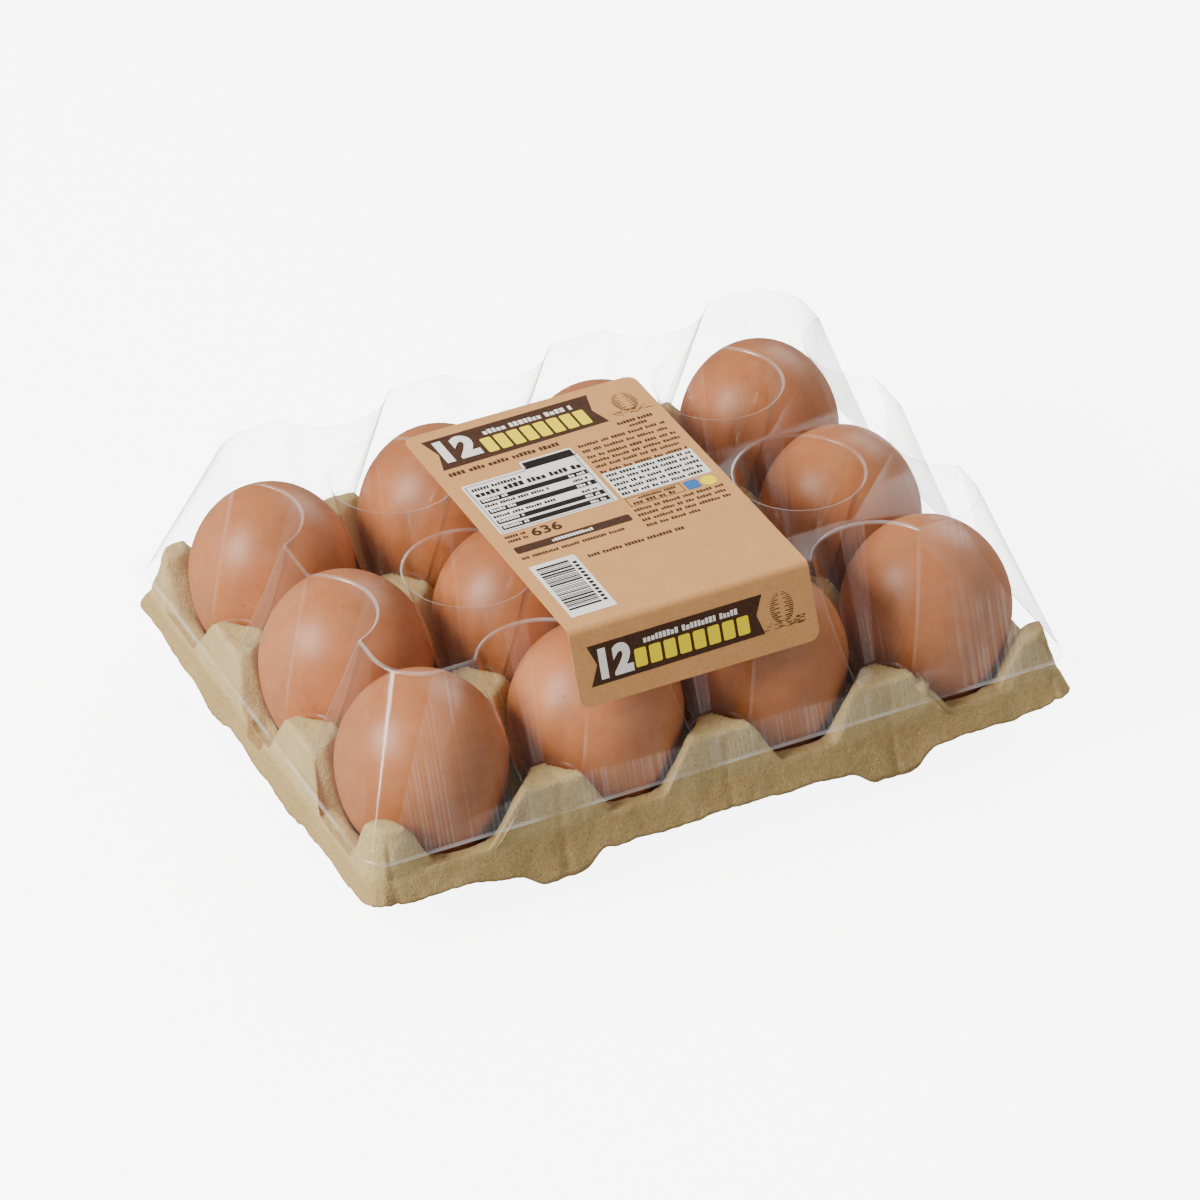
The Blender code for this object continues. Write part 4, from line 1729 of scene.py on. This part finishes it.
@dataclass(frozen=True)
class Studio:
    """The floor, the light and the camera."""

    target: Place = (-5.44, -12.4, 39.0)
    azimuth: float = -25.044
    elevation: float = 35.322
    roll: float = -1.25
    distance: float = 1843.0
    focal_pixels: float = 6948.0
    image_pixels: float = 1200.0
    sensor: float = 36.0
    floor_half: float = 4000.0
    sky: Colour = (0.96, 0.97, 1.0)
    sky_strength: float = 0.30
    lamps: tuple[Lamp, ...] = (
        Lamp("key", (-1.3, 0.0, 0.95), 0.7, 50.0, (1.0, 0.965, 0.91)),
        Lamp("fill", (0.5, -1.4, 0.7), 1.2, 4.5, (1.0, 0.98, 0.95)),
        Lamp("rim", (1.15, 0.75, 0.9), 1.0, 17.0, (1.0, 0.99, 0.97)),
    )

    def camera(self) -> None:
        """Place the camera at the photo's angle."""
        azimuth, elevation, roll = map(math.radians, (self.azimuth, self.elevation, self.roll))
        back = Vector((
            math.sin(azimuth) * math.cos(elevation), -math.cos(azimuth) * math.cos(elevation),
            math.sin(elevation),
        ))
        right = Vector((math.cos(azimuth), math.sin(azimuth), 0.0))
        up = back.cross(right)
        level = math.cos(roll) * right + math.sin(roll) * up
        upright = math.cos(roll) * up - math.sin(roll) * right
        data = bpy.data.cameras.new("camera")
        data.sensor_width = self.sensor
        data.lens = self.focal_pixels * self.sensor / self.image_pixels
        data.clip_start = 0.05
        data.clip_end = 50.0
        camera = put("camera", data)
        place = (Vector(self.target) + back * self.distance) * MM
        turn = Matrix((level, upright, back)).transposed().to_4x4()
        camera.matrix_world = Matrix.Translation(place) @ turn
        bpy.context.scene.camera = camera

    def build(self, floor_material: Material) -> None:
        """Make the floor, the lights, the world and the camera.

        Args:
            floor_material: Material of the floor.
        """
        half = self.floor_half
        corners = [(-half, -half, 0.0), (half, -half, 0.0), (half, half, 0.0), (-half, half, 0.0)]
        floor = from_parts("floor", corners, [[0, 1, 2, 3]], floor_material)
        for lamp in self.lamps:
            lamp.build()
        world = bpy.data.worlds.new("studio")
        world.use_nodes = True
        graph = Graph(world.node_tree)
        sky = graph.out(0, "ShaderNodeBackground", {
            "Color": self.sky, "Strength": self.sky_strength,
        })
        graph.node("ShaderNodeOutputWorld", {"Surface": sky})
        bpy.context.scene.world = world
        self.camera()
        LOG.info("studio: floor, %d lights, camera", len(self.lamps))


EGG_SIZES = (
    EggSize(0, 0, 45.4, 56.0, -2.0, 0.0, -0.9, 0.50),
    EggSize(1, 0, 46.2, 55.0, 0.0, 0.0, 0.0, 0.20),
    EggSize(2, 0, 45.6, 56.0, 1.0, 1.0, 0.3, 0.45),
    EggSize(3, 0, 46.0, 57.5, 1.5, 0.0, 0.6, 0.40),
    EggSize(0, 1, 46.2, 57.0, -2.0, 0.0, -0.8, 0.40),
    EggSize(1, 1, 45.0, 56.0, 0.0, 1.0, 0.0, 0.60),
    EggSize(2, 1, 45.6, 57.0, 0.0, 0.0, 0.0, 0.45),
    EggSize(3, 1, 44.4, 58.0, 1.0, 0.0, 0.0, 0.50),
    EggSize(0, 2, 45.0, 56.0, -2.0, 0.0, -1.1, 0.50),
    EggSize(1, 2, 45.4, 59.0, 0.0, 1.0, 0.0, 0.55),
    EggSize(2, 2, 45.2, 59.0, 0.0, 0.0, 0.0, 0.50),
    EggSize(3, 2, 44.2, 57.5, 1.0, 1.0, 0.0, 0.55),
)
FILM_WALL = FilmFinish("film_wall", clear=0.012, haze=0.03, gloss=0.7, streak=0.09, roughness=0.09)
# Creases: whiter, more opaque film that paints a highlight over the rendered reflection.
FILM_CREASE_HIGHLIGHT = FilmFinish(
    "film_crease_highlight", clear=0.30, haze=0.0, gloss=0.5, streak=0.0, roughness=0.22, metallic=0.3,
    calm=0.8, uneven=0.7, fade=0.85,
)
INKS = {
    Ink.BROWN: InkFinish("ink_brown", linear(56, 30, 16), 0.95),
    Ink.WHITE: InkFinish("ink_white", linear(248, 246, 240), 0.9),
    Ink.YELLOW: InkFinish("ink_yellow", linear(255, 232, 0), 0.99),
    Ink.BLACK: InkFinish("ink_black", linear(8, 6, 6), 0.985),
    Ink.BLUE: InkFinish("ink_blue", linear(24, 110, 180), 0.95),
}


def main() -> None:
    """Build every sub-assembly in order; each piece logs its triangle count."""
    logging.basicConfig(level=logging.INFO, format="%(name)s %(message)s")
    effects = Effects()
    layout = Layout()
    lid = ClearLid(layout)
    band = PaperBand(lid)
    Studio().build(FloorFinish().material(effects))
    PulpTray(layout).build(PulpFinish().material(effects))
    Eggs(layout, EGG_SIZES).build(ShellFinish().material(effects))
    lid.build(FILM_WALL.material(effects), FILM_CREASE_HIGHLIGHT.material(effects))
    band.build(PaperFinish().material(effects))
    Print(band, {ink: finish.material(effects) for ink, finish in INKS.items()}).build()
    bpy.context.view_layer.update()
    LOG.info("sizes written")


if __name__ == "__main__":
    main()
